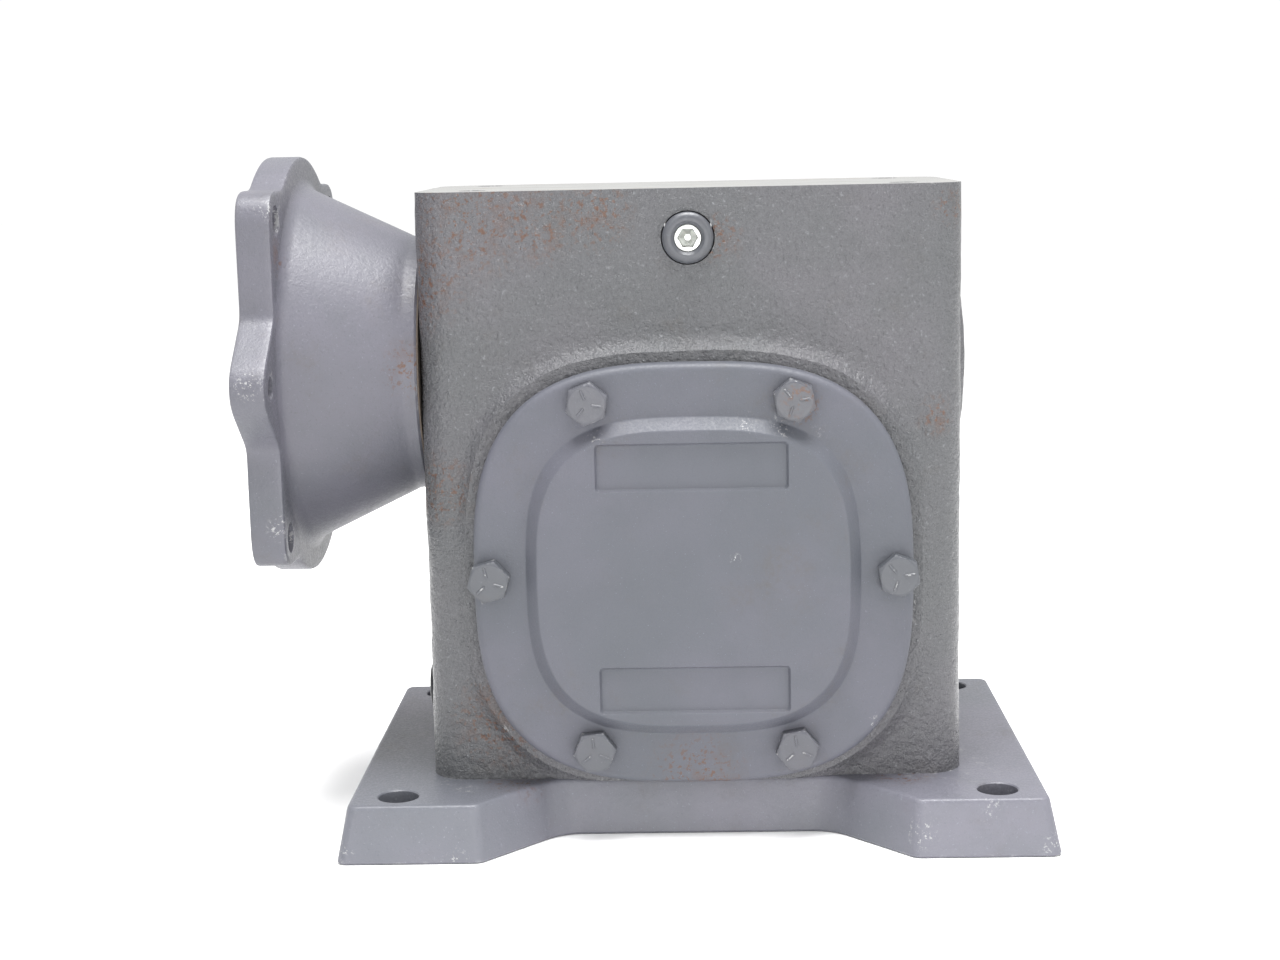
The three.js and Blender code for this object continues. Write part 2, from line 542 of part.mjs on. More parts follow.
// Cup, cone and caged rollers of a taper roller bearing along Y, centred on 0, narrow end at +Y.
const TAPER_SLOPE = 0.2;
function taperParts({ width, bore, outer, rollers, rollerR }) {
  const h = width / 2;
  const middle = (bore + outer) / 2;
  const track = (y) => middle - TAPER_SLOPE * y;
  const reach = rollerR + RUNNING_GAP;
  const cup = turned("y", [[outer, -h], [outer, h], [track(h) + reach, h], [track(-h) + reach, -h]]);
  const cone = turned("y", [[bore, -h], [track(-h) - reach, -h], [track(h) - reach, h], [bore, h]]);
  const length = width - 5;
  const cage = cagedSet(rollers, track(-length / 2), rollerR, length, TAPER_SLOPE).rotateX(-Math.PI / 2);
  return { cup, cone, cage };
}

// ---------------------------------------------------------------- small parts
// A hexagon-head bolt: head underside at 0, head towards +z, shank towards -z.
function hexBolt({ shank, flats, head }, length) {
  const top = solid(extruded(hexagon(flats), head));
  return geometryOf(top.add(rod("z", shank, -length, 0.5, [0, 0, 0], SMALL)));
}

function capScrew({ shank, headR, head, socket }, length) {
  const stem = rod("z", shank, -length, 0.5, [0, 0, 0], SMALL);
  const body = rod("z", headR, 0, head, [0, 0, 0], SMALL).add(stem);
  return geometryOf(cut(body, solid(extruded(hexagon(socket), head).translate(0, 0, head / 2))));
}

// A pipe plug with a hexagon socket, its domed rim standing a little proud of z = 0.
function pipePlug() {
  const { radius, length, proud, socket, socketDepth } = PLUG;
  const body = solid(turned("z", [
    [0, proud - length], [radius - 1, proud - length], [radius, 0], [radius, 1],
    [radius - 0.8, proud - 0.3], [radius - 2, proud], [0, proud],
  ]));
  const recess = extruded(hexagon(socket), socketDepth + 1).translate(0, 0, proud - socketDepth);
  return geometryOf(cut(body, solid(recess)));
}

function oilSeal(axis, inner, outer, from, to) {
  const middle = (from + to) / 2;
  const wall = 1.6;
  return turned(axis, [
    [outer, from], [outer, to], [outer - wall, to], [outer - wall, middle], [inner, middle], [inner + 1, from],
  ]);
}

// ---------------------------------------------------------------- assembly: casing
add("housing", housing(), MATERIAL.castPaint);
add("base_plate", basePlate(), MATERIAL.smoothPaint);
add("motor_flange", motorFlange(), MATERIAL.smoothPaint);
add("motor_flange_gasket", flangeGasket(), MATERIAL.gasket);
add("front_cover", frontCover(), MATERIAL.smoothPaint);
add("rear_cover", rearCover(), MATERIAL.smoothPaint);
add("front_cover_gasket", coverGasket(), MATERIAL.gasket);
add("rear_cover_gasket", coverGasket().mirror([0, 1, 0]), MATERIAL.gasket);

const HEAD_TURNS = [30, 30, 11, 4, -3, 0].map(THREE.MathUtils.degToRad);
COVER_BOLTS.forEach(([x, z], i) => {
  const seat = COVER_SEAT + COVER.flange;
  for (const [side, end] of [[-1, "front"], [1, "rear"]]) {
    const spin = new THREE.Group();
    spin.position.set(x, side * seat, OUTPUT_Z + z);
    spin.rotation.x = (-side * Math.PI) / 2;
    group.add(spin);
    const turn = [0, 0, HEAD_TURNS[i]];
    add(`${end}_cover_bolt_${i + 1}`, hexBolt(BOLT, BOLT.length), MATERIAL.boltPaint, { parent: spin, turn });
  }
});
corners(TAPPED.x, TAPPED.y).forEach(([x, y], i) => {
  const place = { at: [x, y, BASE_BOLT.seat], turn: [Math.PI, 0, 0] };
  add(`base_bolt_${i + 1}`, hexBolt(BASE_BOLT, BASE_BOLT.length), MATERIAL.boltPaint, place);
});
FLANGE_SCREWS.forEach(([y, z], i) => {
  const place = { at: [FLANGE_FOOT - CONE.floor, y, WORM_Z + z], turn: [0, -Math.PI / 2, 0] };
  add(`motor_flange_screw_${i + 1}`, capScrew(CAP_SCREW, CAP_SCREW.length), MATERIAL.blackSteel, place);
});
const plugPlaces = {
  level_plug: { at: [0, -BODY.halfY, FRONT_PLUG_Z], turn: [Math.PI / 2, 0, 0] },
  vent_plug: { at: [0, BODY.halfY, FRONT_PLUG_Z], turn: [-Math.PI / 2, 0, 0] },
  drain_plug: { at: [-BODY.halfX, DRAIN.y, DRAIN.z], turn: [0, -Math.PI / 2, 0] },
};
for (const [name, place] of Object.entries(plugPlaces)) {
  add(name, pipePlug(), name === "drain_plug" ? MATERIAL.blackSteel : MATERIAL.zinc, place);
}
const { from: capFrom, floor: capFloor, to: capTo, rim } = TAIL_CAP;
const capR = TAIL_BEARING.outer;
const tailCap = turned("x", [
  [0, capFloor], [rim, capFloor], [rim, capFrom], [capR, capFrom],
  [capR, capTo - 1], [capR - 1.5, capTo], [0, capTo],
]);
add("tail_bore_plug", tailCap, MATERIAL.smoothPaint, { at: [0, 0, WORM_Z] });

// ---------------------------------------------------------------- assembly: worm shaft and its bearings
const onWormAxis = new THREE.Group();
onWormAxis.position.z = WORM_Z;
group.add(onWormAxis);
const inWorm = (x) => ({ parent: onWormAxis, at: [x, 0, 0] });
add("worm_shaft", wormShaft(), MATERIAL.steel, inWorm(0));
for (const [name, bearing] of [["input_bearing", INPUT_BEARING], ["tail_bearing", TAIL_BEARING]]) {
  const shaftR = bearing.bore + CLEARANCE;
  const rings = ballRings({ ...bearing, bore: shaftR });
  add(`${name}_outer_ring`, rings.outer, MATERIAL.bearingSteel, inWorm(bearing.x));
  add(`${name}_inner_ring`, rings.inner, MATERIAL.bearingSteel, inWorm(bearing.x));
  add(`${name}_ball_cage`, ballCage({ ...bearing, bore: shaftR }), MATERIAL.brassCage, inWorm(bearing.x));
}
const { bore: sealBore, outer: sealRim } = INPUT_BEARING;
const inputSeal = oilSeal("x", sealBore + CLEARANCE, sealRim, INPUT_SEAL.from, INPUT_SEAL.to);
add("input_oil_seal", inputSeal, MATERIAL.rubber, inWorm(0));

// ---------------------------------------------------------------- assembly: output shaft and its bearings
const onOutputAxis = new THREE.Group();
onOutputAxis.position.z = OUTPUT_Z;
group.add(onOutputAxis);
const inOutput = (y, turn = [0, 0, 0]) => ({ parent: onOutputAxis, at: [0, y, 0], turn });
add("output_shaft", outputShaft(), MATERIAL.steel, inOutput(0));
add("worm_wheel_rim", wheelRim(), MATERIAL.bronze, inOutput(0));
add("worm_wheel_hub", wheelHub(), MATERIAL.castIron, inOutput(0));
const wheelKey = new THREE.BoxGeometry(WHEEL_KEY.width, WHEEL_KEY.length, WHEEL_KEY.height);
add("wheel_key", wheelKey.translate(0, 0, SHAFT.gearR - 0.1), MATERIAL.steel, inOutput(0));
const outputKey = new THREE.BoxGeometry(KEY.width, KEY.length, KEY.height);
const keyMiddle = SHAFT.end - KEY.fromEnd - KEY.length / 2;
add("output_key", outputKey.translate(0, keyMiddle, SHAFT.radius), MATERIAL.steel, inOutput(0));
add("wheel_spacer", turned("y", ring(GEAR.boreR, 23, -JOURNAL.from, -16.3)), MATERIAL.steel, inOutput(0));
for (const [name, side] of [["front", -1], ["rear", 1]]) {
  const parts = taperParts(OUTPUT_BEARING);
  const place = inOutput(side * OUTPUT_BEARING.y, [side > 0 ? 0 : Math.PI, 0, 0]);
  add(`${name}_bearing_cup`, parts.cup, MATERIAL.bearingSteel, place);
  add(`${name}_bearing_cone`, parts.cone, MATERIAL.bearingSteel, place);
  add(`${name}_bearing_rollers`, parts.cage, MATERIAL.bearingSteel, place);
}
const { outer: sealOuter, from: sealFrom, to: sealTo } = OUTPUT_SEAL;
const outputSeal = oilSeal("y", SHAFT.sealR + CLEARANCE, sealOuter, sealFrom, sealTo);
add("output_oil_seal", outputSeal, MATERIAL.rubber, inOutput(0));

export default group;
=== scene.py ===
"""Looks of a worm gear reducer: castings, covers, fasteners, plugs and shafts, built round its CAD frame.

Shapes are made in millimetres, in the CAD's own frame, and brought to metres when a piece is finished.
"""

import json
import math

import bmesh
import bpy
from mathutils import Matrix, Vector, noise


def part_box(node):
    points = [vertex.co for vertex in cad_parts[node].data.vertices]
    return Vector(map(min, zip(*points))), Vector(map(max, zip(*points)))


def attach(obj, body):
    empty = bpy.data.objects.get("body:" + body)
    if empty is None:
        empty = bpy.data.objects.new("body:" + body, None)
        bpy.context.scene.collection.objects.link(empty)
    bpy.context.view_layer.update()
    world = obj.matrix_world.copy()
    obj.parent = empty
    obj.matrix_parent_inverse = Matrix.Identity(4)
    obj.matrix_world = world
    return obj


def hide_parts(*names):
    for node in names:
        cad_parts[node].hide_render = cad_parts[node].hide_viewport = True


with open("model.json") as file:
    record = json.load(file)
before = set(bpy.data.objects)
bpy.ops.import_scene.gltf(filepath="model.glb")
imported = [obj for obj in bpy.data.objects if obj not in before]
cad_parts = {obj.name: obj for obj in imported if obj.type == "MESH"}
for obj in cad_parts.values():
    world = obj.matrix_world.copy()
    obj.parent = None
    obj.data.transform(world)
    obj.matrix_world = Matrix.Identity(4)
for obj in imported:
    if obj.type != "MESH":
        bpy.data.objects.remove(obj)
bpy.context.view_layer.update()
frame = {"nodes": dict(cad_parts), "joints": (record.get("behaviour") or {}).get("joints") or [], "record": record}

MM = 0.001
X, Y, Z = Vector((1, 0, 0)), Vector((0, 1, 0)), Vector((0, 0, 1))
scene = bpy.context.scene
joints = {joint["name"]: Vector(joint["pos_m"]) / MM for joint in frame["joints"]}
OUTPUT_Z = joints["output_spin"].z
WORM_Z = joints["worm_spin"].z


def extent(node):
    """A CAD node's lowest and highest corner, in millimetres."""
    low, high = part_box(node)
    return low / MM, high / MM


# ---------------------------------------------------------------- sizes, in millimetres
BODY_LOW, BODY_HIGH = extent("housing")
BODY_HALF_X = -BODY_LOW.x
PAD_FACE = BODY_HIGH.y
PAD_HEIGHT = 3.5
BODY_HALF_Y = PAD_FACE - PAD_HEIGHT
BODY_TOP = BODY_HIGH.z
BODY_CORNER = 12
WALL = 9
VOXEL = 1.15
# Reach of the blocks that trim the cast shape to its machined faces.
FAR = 200
WORM_BORE_R = 24.2
TAIL_BORE_R = 26.3
TAIL_BOSS_R = 29
TAPPED_R, TAPPED_DEPTH = 3.9, 15
PLUG_HOLE = [(9.4, 3), (8.9, 0.4), (8.8, -WALL - 2)]

# How square the covers and the panel are: 2 would be an ellipse.
COVER_POWER = 2.9
PANEL_POWER = 3.1
COVER_LOW, COVER_HIGH = extent("front_cover")
COVER_A = COVER_HIGH.x
COVER_B = COVER_HIGH.z - OUTPUT_Z
COVER_BACK = PAD_FACE + 0.5
COVER_FACE = COVER_BACK + 7.5
PANEL_FACE = -COVER_LOW.y
COVER_RIM = 2.4
PANEL_A, PANEL_B = 55.5, 53.5
LABEL_HALF_X, LABEL_HALF_Z, LABEL_CORNER = 31.5, 7.75, 1.4
LABEL_RISE = 37.5
SPIGOT_R, SPIGOT_BORE_R, SPIGOT_DEPTH = 56.5, 50.5, 8
POCKET_R, POCKET_WALL_R, POCKET_MOUTH, POCKET_FLOOR = 31.2, 38, 37.2, 57.3
SEAL_SEAT_R, SEAL_SEAT = 24.2, 64.7
COVER_BORE_R = 17
BOLT_CIRCLE = 67.75
BOLT_HOLE_R = 4.1
BOLT_HOLE_LOW, BOLT_HOLE_HIGH = 38, 60
# Degrees that each cover bolt's head is turned.
HEAD_TURNS = (30, 30, 11, 4, -3, 0)
COVER_BOLT = {"flats": 12.7, "height": 4.9, "shank": 3.8, "length": 18.5}

BASE_HIGH = extent("base_plate")[1]
BASE_X, BASE_Y, BASE_TOP = BASE_HIGH.x, BASE_HIGH.y, BASE_HIGH.z
FOOT_X, NECK_X, NECK_Y = 71.5, 46, 52.5
FOOT_HOLE = Vector((100, 66.5, 0))
FOOT_HOLE_R = 6.75
TAPPED = Vector((72, 33, 0))
BASE_BOLT = {"flats": 14.3, "height": 5.6, "shank": 4.4, "length": 23.5}
BASE_SEAT, BASE_SEAT_R, BASE_BOLT_HOLE_R = 10, 11, 4.7

FLANGE_LOW, FLANGE_HIGH = extent("motor_flange")
FLANGE_FACE, FLANGE_FOOT = FLANGE_LOW.x, FLANGE_HIGH.x
FLANGE_THICK = 11.5
FLANGE_BACK = FLANGE_FACE + FLANGE_THICK
DISC_R, SQUARE, LOBE_TIP = 73, 62.5, 84
SQUARE_CORNER, LOBE_CORNER, LOBE_SLOPE = 9.5, 9.5, math.radians(38)
PILOT_R, PILOT_DEPTH = 57.15, 4.5
CHAMBER_R = 51.5
CHAMBER_FLOOR = FLANGE_FOOT - 8
SLEEVE, SLEEVE_R = FLANGE_FOOT - 5.5, 44.4
COUPLING_R = 17
MOTOR_HOLE, MOTOR_HOLE_R = 52.75, 5.15
SIDE_HOLE, SIDE_HOLE_R = 74.6, 3.9
SCREW_CIRCLE = 31.5
SCREW_HEAD, SCREW_HEAD_R, SCREW_R, SCREW_LENGTH, SCREW_SOCKET = 8, 5.95, 3.8, 19.8, 3.6

LEVEL_Z = 202.5
DRAIN = Vector((-BODY_HALF_X, -18, 45))
PLUG_CORE_R, PLUG_SOCKET = 4.6, 3.1

SHAFT_R = 14.25
JOURNAL_R, WHEEL_SEAT_R, SHOULDER_R, SEAL_R = 17.2, 18.7, 21, 15
JOURNAL_END, SHOULDER, COLLAR, SHAFT_STEP = 57, 39, 40, 16.3
WHEEL_KEY_HALF, WHEEL_KEY_REACH, WHEEL_KEY_LOW, WHEEL_KEY_TOP = 4.2, 14.7, 15.5, 25
KEY_HALF, KEY_HALF_WIDTH, KEY_SET_BACK = 25, 3.175, 4
TEETH = 30
QUILL_R, INPUT_JOURNAL_R, CORE_R, TAIL_SHOULDER_R, TAIL_JOURNAL_R = 12.5, 15, 12.1, 14.1, 10
INPUT_SHOULDER, CORE_HALF, TAIL_SHOULDER = -70, 32, 66
WORM_PITCH_R, WORM_ROOT_R, WORM_TIP_R = 18, 14.1, 21.0
PRESSURE_ANGLE = math.radians(20)
THREAD_HALF = 26
MOTOR_BORE_R, MOTOR_BORE_DEPTH, MOTOR_KEY_HALF = 7.94, 58, 2.38


# ---------------------------------------------------------------- mesh building
def to_object(bm, name="tool"):
    bmesh.ops.recalc_face_normals(bm, faces=bm.faces)
    mesh = bpy.data.meshes.new(name)
    bm.to_mesh(mesh)
    bm.free()
    obj = bpy.data.objects.new(name, mesh)
    scene.collection.objects.link(obj)
    return obj


def loft(loops, closed=False):
    """A skin through closed loops of equal length, capped at both ends unless it closes on itself."""
    bm = bmesh.new()
    rings = [[bm.verts.new(point) for point in loop] for loop in loops]
    pairs = list(zip(rings, rings[1:]))
    if closed:
        pairs.append((rings[-1], rings[0]))
    for low, high in pairs:
        for i in range(len(low)):
            j = (i + 1) % len(low)
            bm.faces.new((low[i], low[j], high[j], high[i]))
    if not closed:
        bm.faces.new(rings[0])
        bm.faces.new(rings[-1])
    return to_object(bm)


def frame_of(axis):
    """Two directions square to an axis, so that a loop drawn in them turns right-handed about it."""
    side = {0: Y, 1: Z, 2: X}[max(range(3), key=lambda i: abs(axis[i]))]
    return side, axis.cross(side)


def turned(axis, centre, profile, count=96, closed=False):
    """A turned piece: (radius, station) pairs along an axis through centre."""
    u, w = frame_of(axis)
    angles = [2 * math.pi * i / count for i in range(count)]
    ring = [u * math.cos(t) + w * math.sin(t) for t in angles]
    return loft([[centre + axis * s + d * max(r, 0.02) for d in ring] for r, s in profile], closed)


def baked(obj):
    """Applies an object's modifiers to its mesh."""
    bpy.context.view_layer.update()
    graph = bpy.context.evaluated_depsgraph_get()
    mesh = bpy.data.meshes.new_from_object(obj.evaluated_get(graph))
    obj.modifiers.clear()
    obj.data = mesh
    return obj


def combine(obj, tool, operation="DIFFERENCE"):
    modifier = obj.modifiers.new("combine", "BOOLEAN")
    modifier.operation = operation
    modifier.solver = "MANIFOLD"
    modifier.object = tool
    baked(obj)
    bpy.data.objects.remove(tool)
    return obj


def cut(obj, *tools):
    for tool in tools:
        combine(obj, tool)
    return obj


def weld(obj, *others):
    for other in others:
        combine(obj, other, "UNION")
    return obj


def block(low, high):
    corners = [(low.x, low.y), (high.x, low.y), (high.x, high.y), (low.x, high.y)]
    return loft([[Vector((x, y, z)) for x, y in corners] for z in (low.z, high.z)])


def finished(obj, name, material, body, stands_for=(), sharp=32):
    """Brings a shape to metres, shades it, and hands it to its CAD body as the stand-in of its nodes."""
    obj.name = name
    obj.data.name = name
    obj.data.transform(Matrix.Scale(MM, 4))
    obj.data.materials.clear()
    obj.data.materials.append(MATERIALS[material])
    obj.data.shade_smooth()
    obj.data.set_sharp_from_angle(angle=math.radians(sharp))
    modifier = obj.modifiers.new("normals", "WEIGHTED_NORMAL")
    modifier.keep_sharp = True
    baked(obj)
    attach(obj, body)
    if stands_for:
        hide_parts(*stands_for)
    return obj


def squircle(a, b, power, count=144):
    """Points of a rounded square, as (u, w) pairs."""
    points = []
    for i in range(count):
        t = 2 * math.pi * i / count
        c, s = math.cos(t), math.sin(t)
        r = (abs(c / a) ** power + abs(s / b) ** power) ** (-1 / power)
        points.append((r * c, r * s))
    return points


def inset_polygon(corners, d):
    """A polygon's corners moved inwards by d, square to its edges. The corners run anticlockwise."""
    moved = []
    for i, here in enumerate(corners):
        before, after = Vector(corners[i - 1]), Vector(corners[(i + 1) % len(corners)])
        here = Vector(here)
        first, second = (here - before).normalized(), (after - here).normalized()
        n1, n2 = Vector((-first.y, first.x)), Vector((-second.y, second.x))
        moved.append(here + (n1 + n2) * d / (1 + n1.dot(n2)))
    return moved


def rounded(corners, radii, steps=8):
    """A polygon with each corner replaced by an arc."""
    points = []
    for i, here in enumerate(corners):
        here = Vector(here)
        back = (Vector(corners[i - 1]) - here).normalized()
        on = (Vector(corners[(i + 1) % len(corners)]) - here).normalized()
        half = math.acos(max(-1, min(1, back.dot(on)))) / 2
        reach = radii[i] / math.tan(half)
        centre = here + (back + on).normalized() * radii[i] / math.sin(half)
        start, end = here + back * reach - centre, here + on * reach - centre
        sweep = start.angle_signed(end)
        for k in range(steps + 1):
            turn = -sweep * k / steps
            c, s = math.cos(turn), math.sin(turn)
            points.append(centre + Vector((c * start.x - s * start.y, s * start.x + c * start.y)))
    return points


def rectangle(half_x, half_y, radius, steps=8):
    corners = [(half_x, -half_y), (half_x, half_y), (-half_x, half_y), (-half_x, -half_y)]
    return rounded(corners, [radius] * 4, steps)


def four(x, y):
    return [(-x, -y), (x, -y), (x, y), (-x, y)]


def on_circle(count, radius, first=0.0):
    angles = [first + 2 * math.pi * i / count for i in range(count)]
    return [(radius * math.cos(t), radius * math.sin(t)) for t in angles]


def upright(points, z):
    """(x, y) pairs set level at height z."""
    return [Vector((x, y, z)) for x, y in points]


def on_front(points, height, side=-1):
    """(u, w) pairs set upright on the casing's front (side -1) or rear (+1), centred on the output axis."""
    return [Vector((u, side * height, OUTPUT_Z + w)) for u, w in points]


# ---------------------------------------------------------------- materials
class Shader:
    """A node material with one Principled shader. Its parts read the piece's own coordinates in metres."""

    def __init__(self, name):
        self.material = bpy.data.materials.new(name)
        self.material.use_nodes = True
        self.nodes = self.material.node_tree.nodes
        self.links = self.material.node_tree.links
        self.principled = self.nodes["Principled BSDF"]
        self.place = self.add("ShaderNodeTexCoord").outputs["Object"]

    def add(self, kind, values=None, **settings):
        node = self.nodes.new(kind)
        for key, value in settings.items():
            setattr(node, key, value)
        for key, value in (values or {}).items():
            self.feed(node.inputs[key], value)
        return node

    def feed(self, socket, value):
        if isinstance(value, bpy.types.NodeSocket):
            self.links.new(value, socket)
        else:
            socket.default_value = value

    def noise(self, size, detail=3.0, roughness=0.55, offset=0.0):
        """Noise whose features are about size millimetres across."""
        shift = (offset, offset, offset)
        moved = self.add("ShaderNodeVectorMath", {0: self.place, 1: shift}, operation="ADD").outputs[0]
        values = {"Vector": moved, "Scale": 1 / (size * MM), "Detail": detail, "Roughness": roughness}
        return self.add("ShaderNodeTexNoise", values).outputs["Fac"]

    def ramp(self, value, low, high, to_low=0.0, to_high=1.0):
        values = {"Value": value, "From Min": low, "From Max": high, "To Min": to_low, "To Max": to_high}
        return self.add("ShaderNodeMapRange", values, interpolation_type="SMOOTHSTEP").outputs["Result"]

    def maths(self, operation, a, b=0.0):
        return self.add("ShaderNodeMath", {0: a, 1: b}, operation=operation).outputs[0]

    def mix(self, factor, a, b):
        node = self.nodes.new("ShaderNodeMix")
        node.data_type = "RGBA"
        self.feed(node.inputs[0], factor)
        self.feed(node.inputs[6], a)
        self.feed(node.inputs[7], b)
        return node.outputs[2]

    def near(self, centre, radius):
        """1 at a place given in millimetres, fading to 0 at radius."""
        values = {0: self.place, 1: Vector(centre) * MM}
        distance = self.add("ShaderNodeVectorMath", values, operation="DISTANCE").outputs["Value"]
        return self.ramp(distance, radius * MM, radius * MM * 0.25)

    def edges(self):
        """1 on sharp outer edges, 0 on flat faces, whose pointiness is a half."""
        return self.ramp(self.add("ShaderNodeNewGeometry").outputs["Pointiness"], 0.53, 0.59)

    def bump(self, height, strength, distance, below=None):
        values = {"Height": height, "Strength": strength, "Distance": distance * MM}
        if below:
            values["Normal"] = below
        return self.add("ShaderNodeBump", values).outputs["Normal"]

    def finish(self, color, roughness, normal, metallic=0.0):
        for key, value in (("Base Color", color), ("Roughness", roughness), ("Normal", normal)):
            self.feed(self.principled.inputs[key], value)
        self.principled.inputs["Metallic"].default_value = metallic
        return self.material


def shade(color, factor):
    return tuple(c * factor for c in color) + (1.0,)


RUST = (0.078, 0.036, 0.02, 1.0)
DIRT = (0.062, 0.052, 0.042, 1.0)
# Light grey of chipped paint, also used for painted edge highlights on the base's feet and the flange.
CHIP_AND_HIGHLIGHT_GREY = (0.3, 0.3, 0.3, 1.0)


def painted(name, color, grain, grain_depth, stains=(), scuffs_and_highlights=(), gloss=0.42, painted_glint=0.4):
    """Grey enamel on cast iron, with painted glints on the grain's peaks and painted shade in its dips. Stains are
    the (place, radius) of rust; scuff places are those of chipped paint and of painted edge highlights, both in
    the same light grey.
    """
    low_tone = shade(color, 0.93)
    high_tone = shade((color[0] * 1.06, color[1], color[2] * 1.04), 1.05)
    s = Shader(name)
    wide = s.noise(70, 3)
    patches = s.noise(14, 4, 0.6, 0.3)
    fine = s.noise(grain, 4, 0.65, 0.7)
    pits = s.noise(grain * 2.6, 3, 0.6, 1.1)
    base = s.mix(s.ramp(wide, 0.35, 0.65), low_tone, high_tone)
    base = s.mix(s.ramp(patches, 0.4, 0.75, 0.0, 0.4), base, shade(color, 0.84))
    # Painted glints: light specks on the grain's peaks, standing in for glossy paint catching the lamps.
    base = s.mix(s.ramp(fine, 0.62, 0.7, 0.0, painted_glint), base, shade(color, 2.3))
    # Painted shade: the grain's dips, where its bump is lowest, darkened to 0.6 of the paint.
    base = s.mix(s.ramp(fine, 0.44, 0.28, 0.0, 0.5), base, shade(color, 0.6))
    dirty = s.ramp(s.noise(26, 5, 0.7, 2.0), 0.52, 0.74)
    grime = s.maths("MULTIPLY", dirty, s.ramp(pits, 0.4, 0.65, 0.2, 0.8))
    base = s.mix(s.maths("MULTIPLY", grime, 0.42), base, DIRT)
    rusty = 0.0
    for place, radius in stains:
        rusty = s.maths("MAXIMUM", s.near(place, radius), rusty)
    if stains:
        specks = s.maths("MULTIPLY", s.ramp(s.noise(1.9, 4, 0.7, 3.0), 0.54, 0.6, 0.0, 0.95), rusty)
        bloom = s.maths("MULTIPLY", s.ramp(s.noise(9, 4, 0.7, 4.0), 0.45, 0.75, 0.0, 0.5), rusty)
        base = s.mix(s.maths("MAXIMUM", specks, bloom), base, RUST)
    worn_and_highlit = s.maths("MULTIPLY", s.edges(), s.ramp(s.noise(3.2, 4, 0.75, 5.0), 0.56, 0.61))
    # Scuff places add chipped paint; on the base's feet and the flange they are painted edge highlights in the
    # same grey.
    for place, radius in scuffs_and_highlights:
        flake_and_glint_specks = s.ramp(s.noise(1.5, 4, 0.8, 6.0), 0.57, 0.62)
        worn_and_highlit = s.maths("MAXIMUM", worn_and_highlit, s.maths("MULTIPLY", s.near(place, radius), flake_and_glint_specks))
    base = s.mix(worn_and_highlit, base, CHIP_AND_HIGHLIGHT_GREY)
    rough = s.ramp(fine, 0.3, 0.7, gloss - 0.08, gloss + 0.14)
    normal = s.bump(pits, 0.8, grain_depth * 2)
    normal = s.bump(fine, 1.0, grain_depth, normal)
    return s.finish(base, rough, normal)


def machined(name, color, roughness, streak_axis=None, stain=(0.2, 0.16, 0.12), metallic=1.0):
    """Bare or plated metal with fine tool marks, crowded along streak_axis, smudges and light stains."""
    s = Shader(name)
    stretch = {None: (1, 1, 1), "x": (30, 1, 1), "y": (1, 30, 1)}[streak_axis]
    lined = s.add("ShaderNodeVectorMath", {0: s.place, 1: stretch}, operation="MULTIPLY").outputs[0]
    marks = s.add("ShaderNodeTexNoise", {"Vector": lined, "Scale": 260.0, "Detail": 5.0}).outputs["Fac"]
    smudge = s.noise(16, 4, 0.6, 0.4)
    base = s.mix(s.ramp(marks, 0.35, 0.65), shade(color, 0.82), shade(color, 1.1))
    base = s.mix(s.ramp(smudge, 0.55, 0.78, 0.0, 0.45), base, stain + (1.0,))
    rough = s.ramp(smudge, 0.3, 0.7, roughness - 0.07, roughness + 0.12)
    return s.finish(base, rough, s.bump(marks, 0.35, 0.03), metallic)


def soft(name, color, grain, roughness):
    """Rubber or fibre sheet: matt, with a fine grain and dusty patches."""
    s = Shader(name)
    fine = s.noise(grain, 4, 0.6)
    dust = s.noise(8, 4, 0.65, 0.9)
    base = s.mix(s.ramp(fine, 0.35, 0.7), shade(color, 0.7), shade(color, 1.5))
    base = s.mix(s.ramp(dust, 0.55, 0.8, 0.0, 0.35), base, (0.22, 0.2, 0.18, 1.0))
    rough = s.ramp(dust, 0.3, 0.7, roughness - 0.1, roughness + 0.05)
    return s.finish(base, rough, s.bump(fine, 0.4, 0.08))


# Stains and scuffs: places in millimetres, each with its radius. Some scuff places are painted edge highlights.
HOUSING_STAINS = [
    ((-70, -49, 210), 26),
    ((-50, -49, 208), 18),
    ((-30, -49, 211), 16),
    ((86, -45, 211), 9),
    ((82, -49, 142), 9),
    ((-66, -49, 40), 22),
    ((-84, -46, 120), 16),
    ((-91, -20, 175), 26),
    ((-88, -42, 190), 22),
    ((10, -50, 202), 11),
    ((60, 45, 30), 24),
    ((-60, 49, 200), 26),
]
COVER_STAINS = [((36, -61, 148), 9), ((0, -54, 22), 22)]
COVER_SCUFFS = [
    ((18, -65, 144), 6),
    ((30, -65, 143), 7),
    ((42, -65, 139), 6),
    ((-32, -65, 140), 5),
    ((14, -65.5, 98), 2.5),
    ((60, -61, 40), 4),
]
BASE_STAINS = [((-62, -52, 19), 14), ((70, -50, 19), 14)]
# The places on the feet's front edges, at y -81, are painted edge highlights; the one on the top at (-78, -60, 19)
# is a scuff.
BASE_SCUFFS_AND_HIGHLIGHTS = [
    ((-78, -60, 19), 6),
    ((73, -81, 9), 8),
    ((96, -81, 17), 7),
    ((119, -81, 3), 9),
    ((-119, -81, 4), 7),
    ((-80, -81, 0), 7),
]
FLANGE_STAINS = [((-94, -40, 160), 14), ((-134, -55, 200), 9)]
# The places at the front (y below zero), on the lobe tip and the plate's corners, are painted edge highlights.
FLANGE_SCUFFS_AND_HIGHLIGHTS = [
    ((-140, -82, 160), 7),
    ((-136, -62, 216), 6),
    ((-136, -62, 110), 6),
    ((-136, 60, 222), 8),
]
BOLT_STAINS = [((36, -66, 150), 9)]
CAST_GREY = (0.072, 0.0745, 0.079)
COVER_GREY = (0.068, 0.073, 0.087)
BASE_GREY = (0.103, 0.108, 0.125)
FLANGE_GREY = (0.08, 0.083, 0.097)
BOLT_GREY = (0.058, 0.062, 0.071)
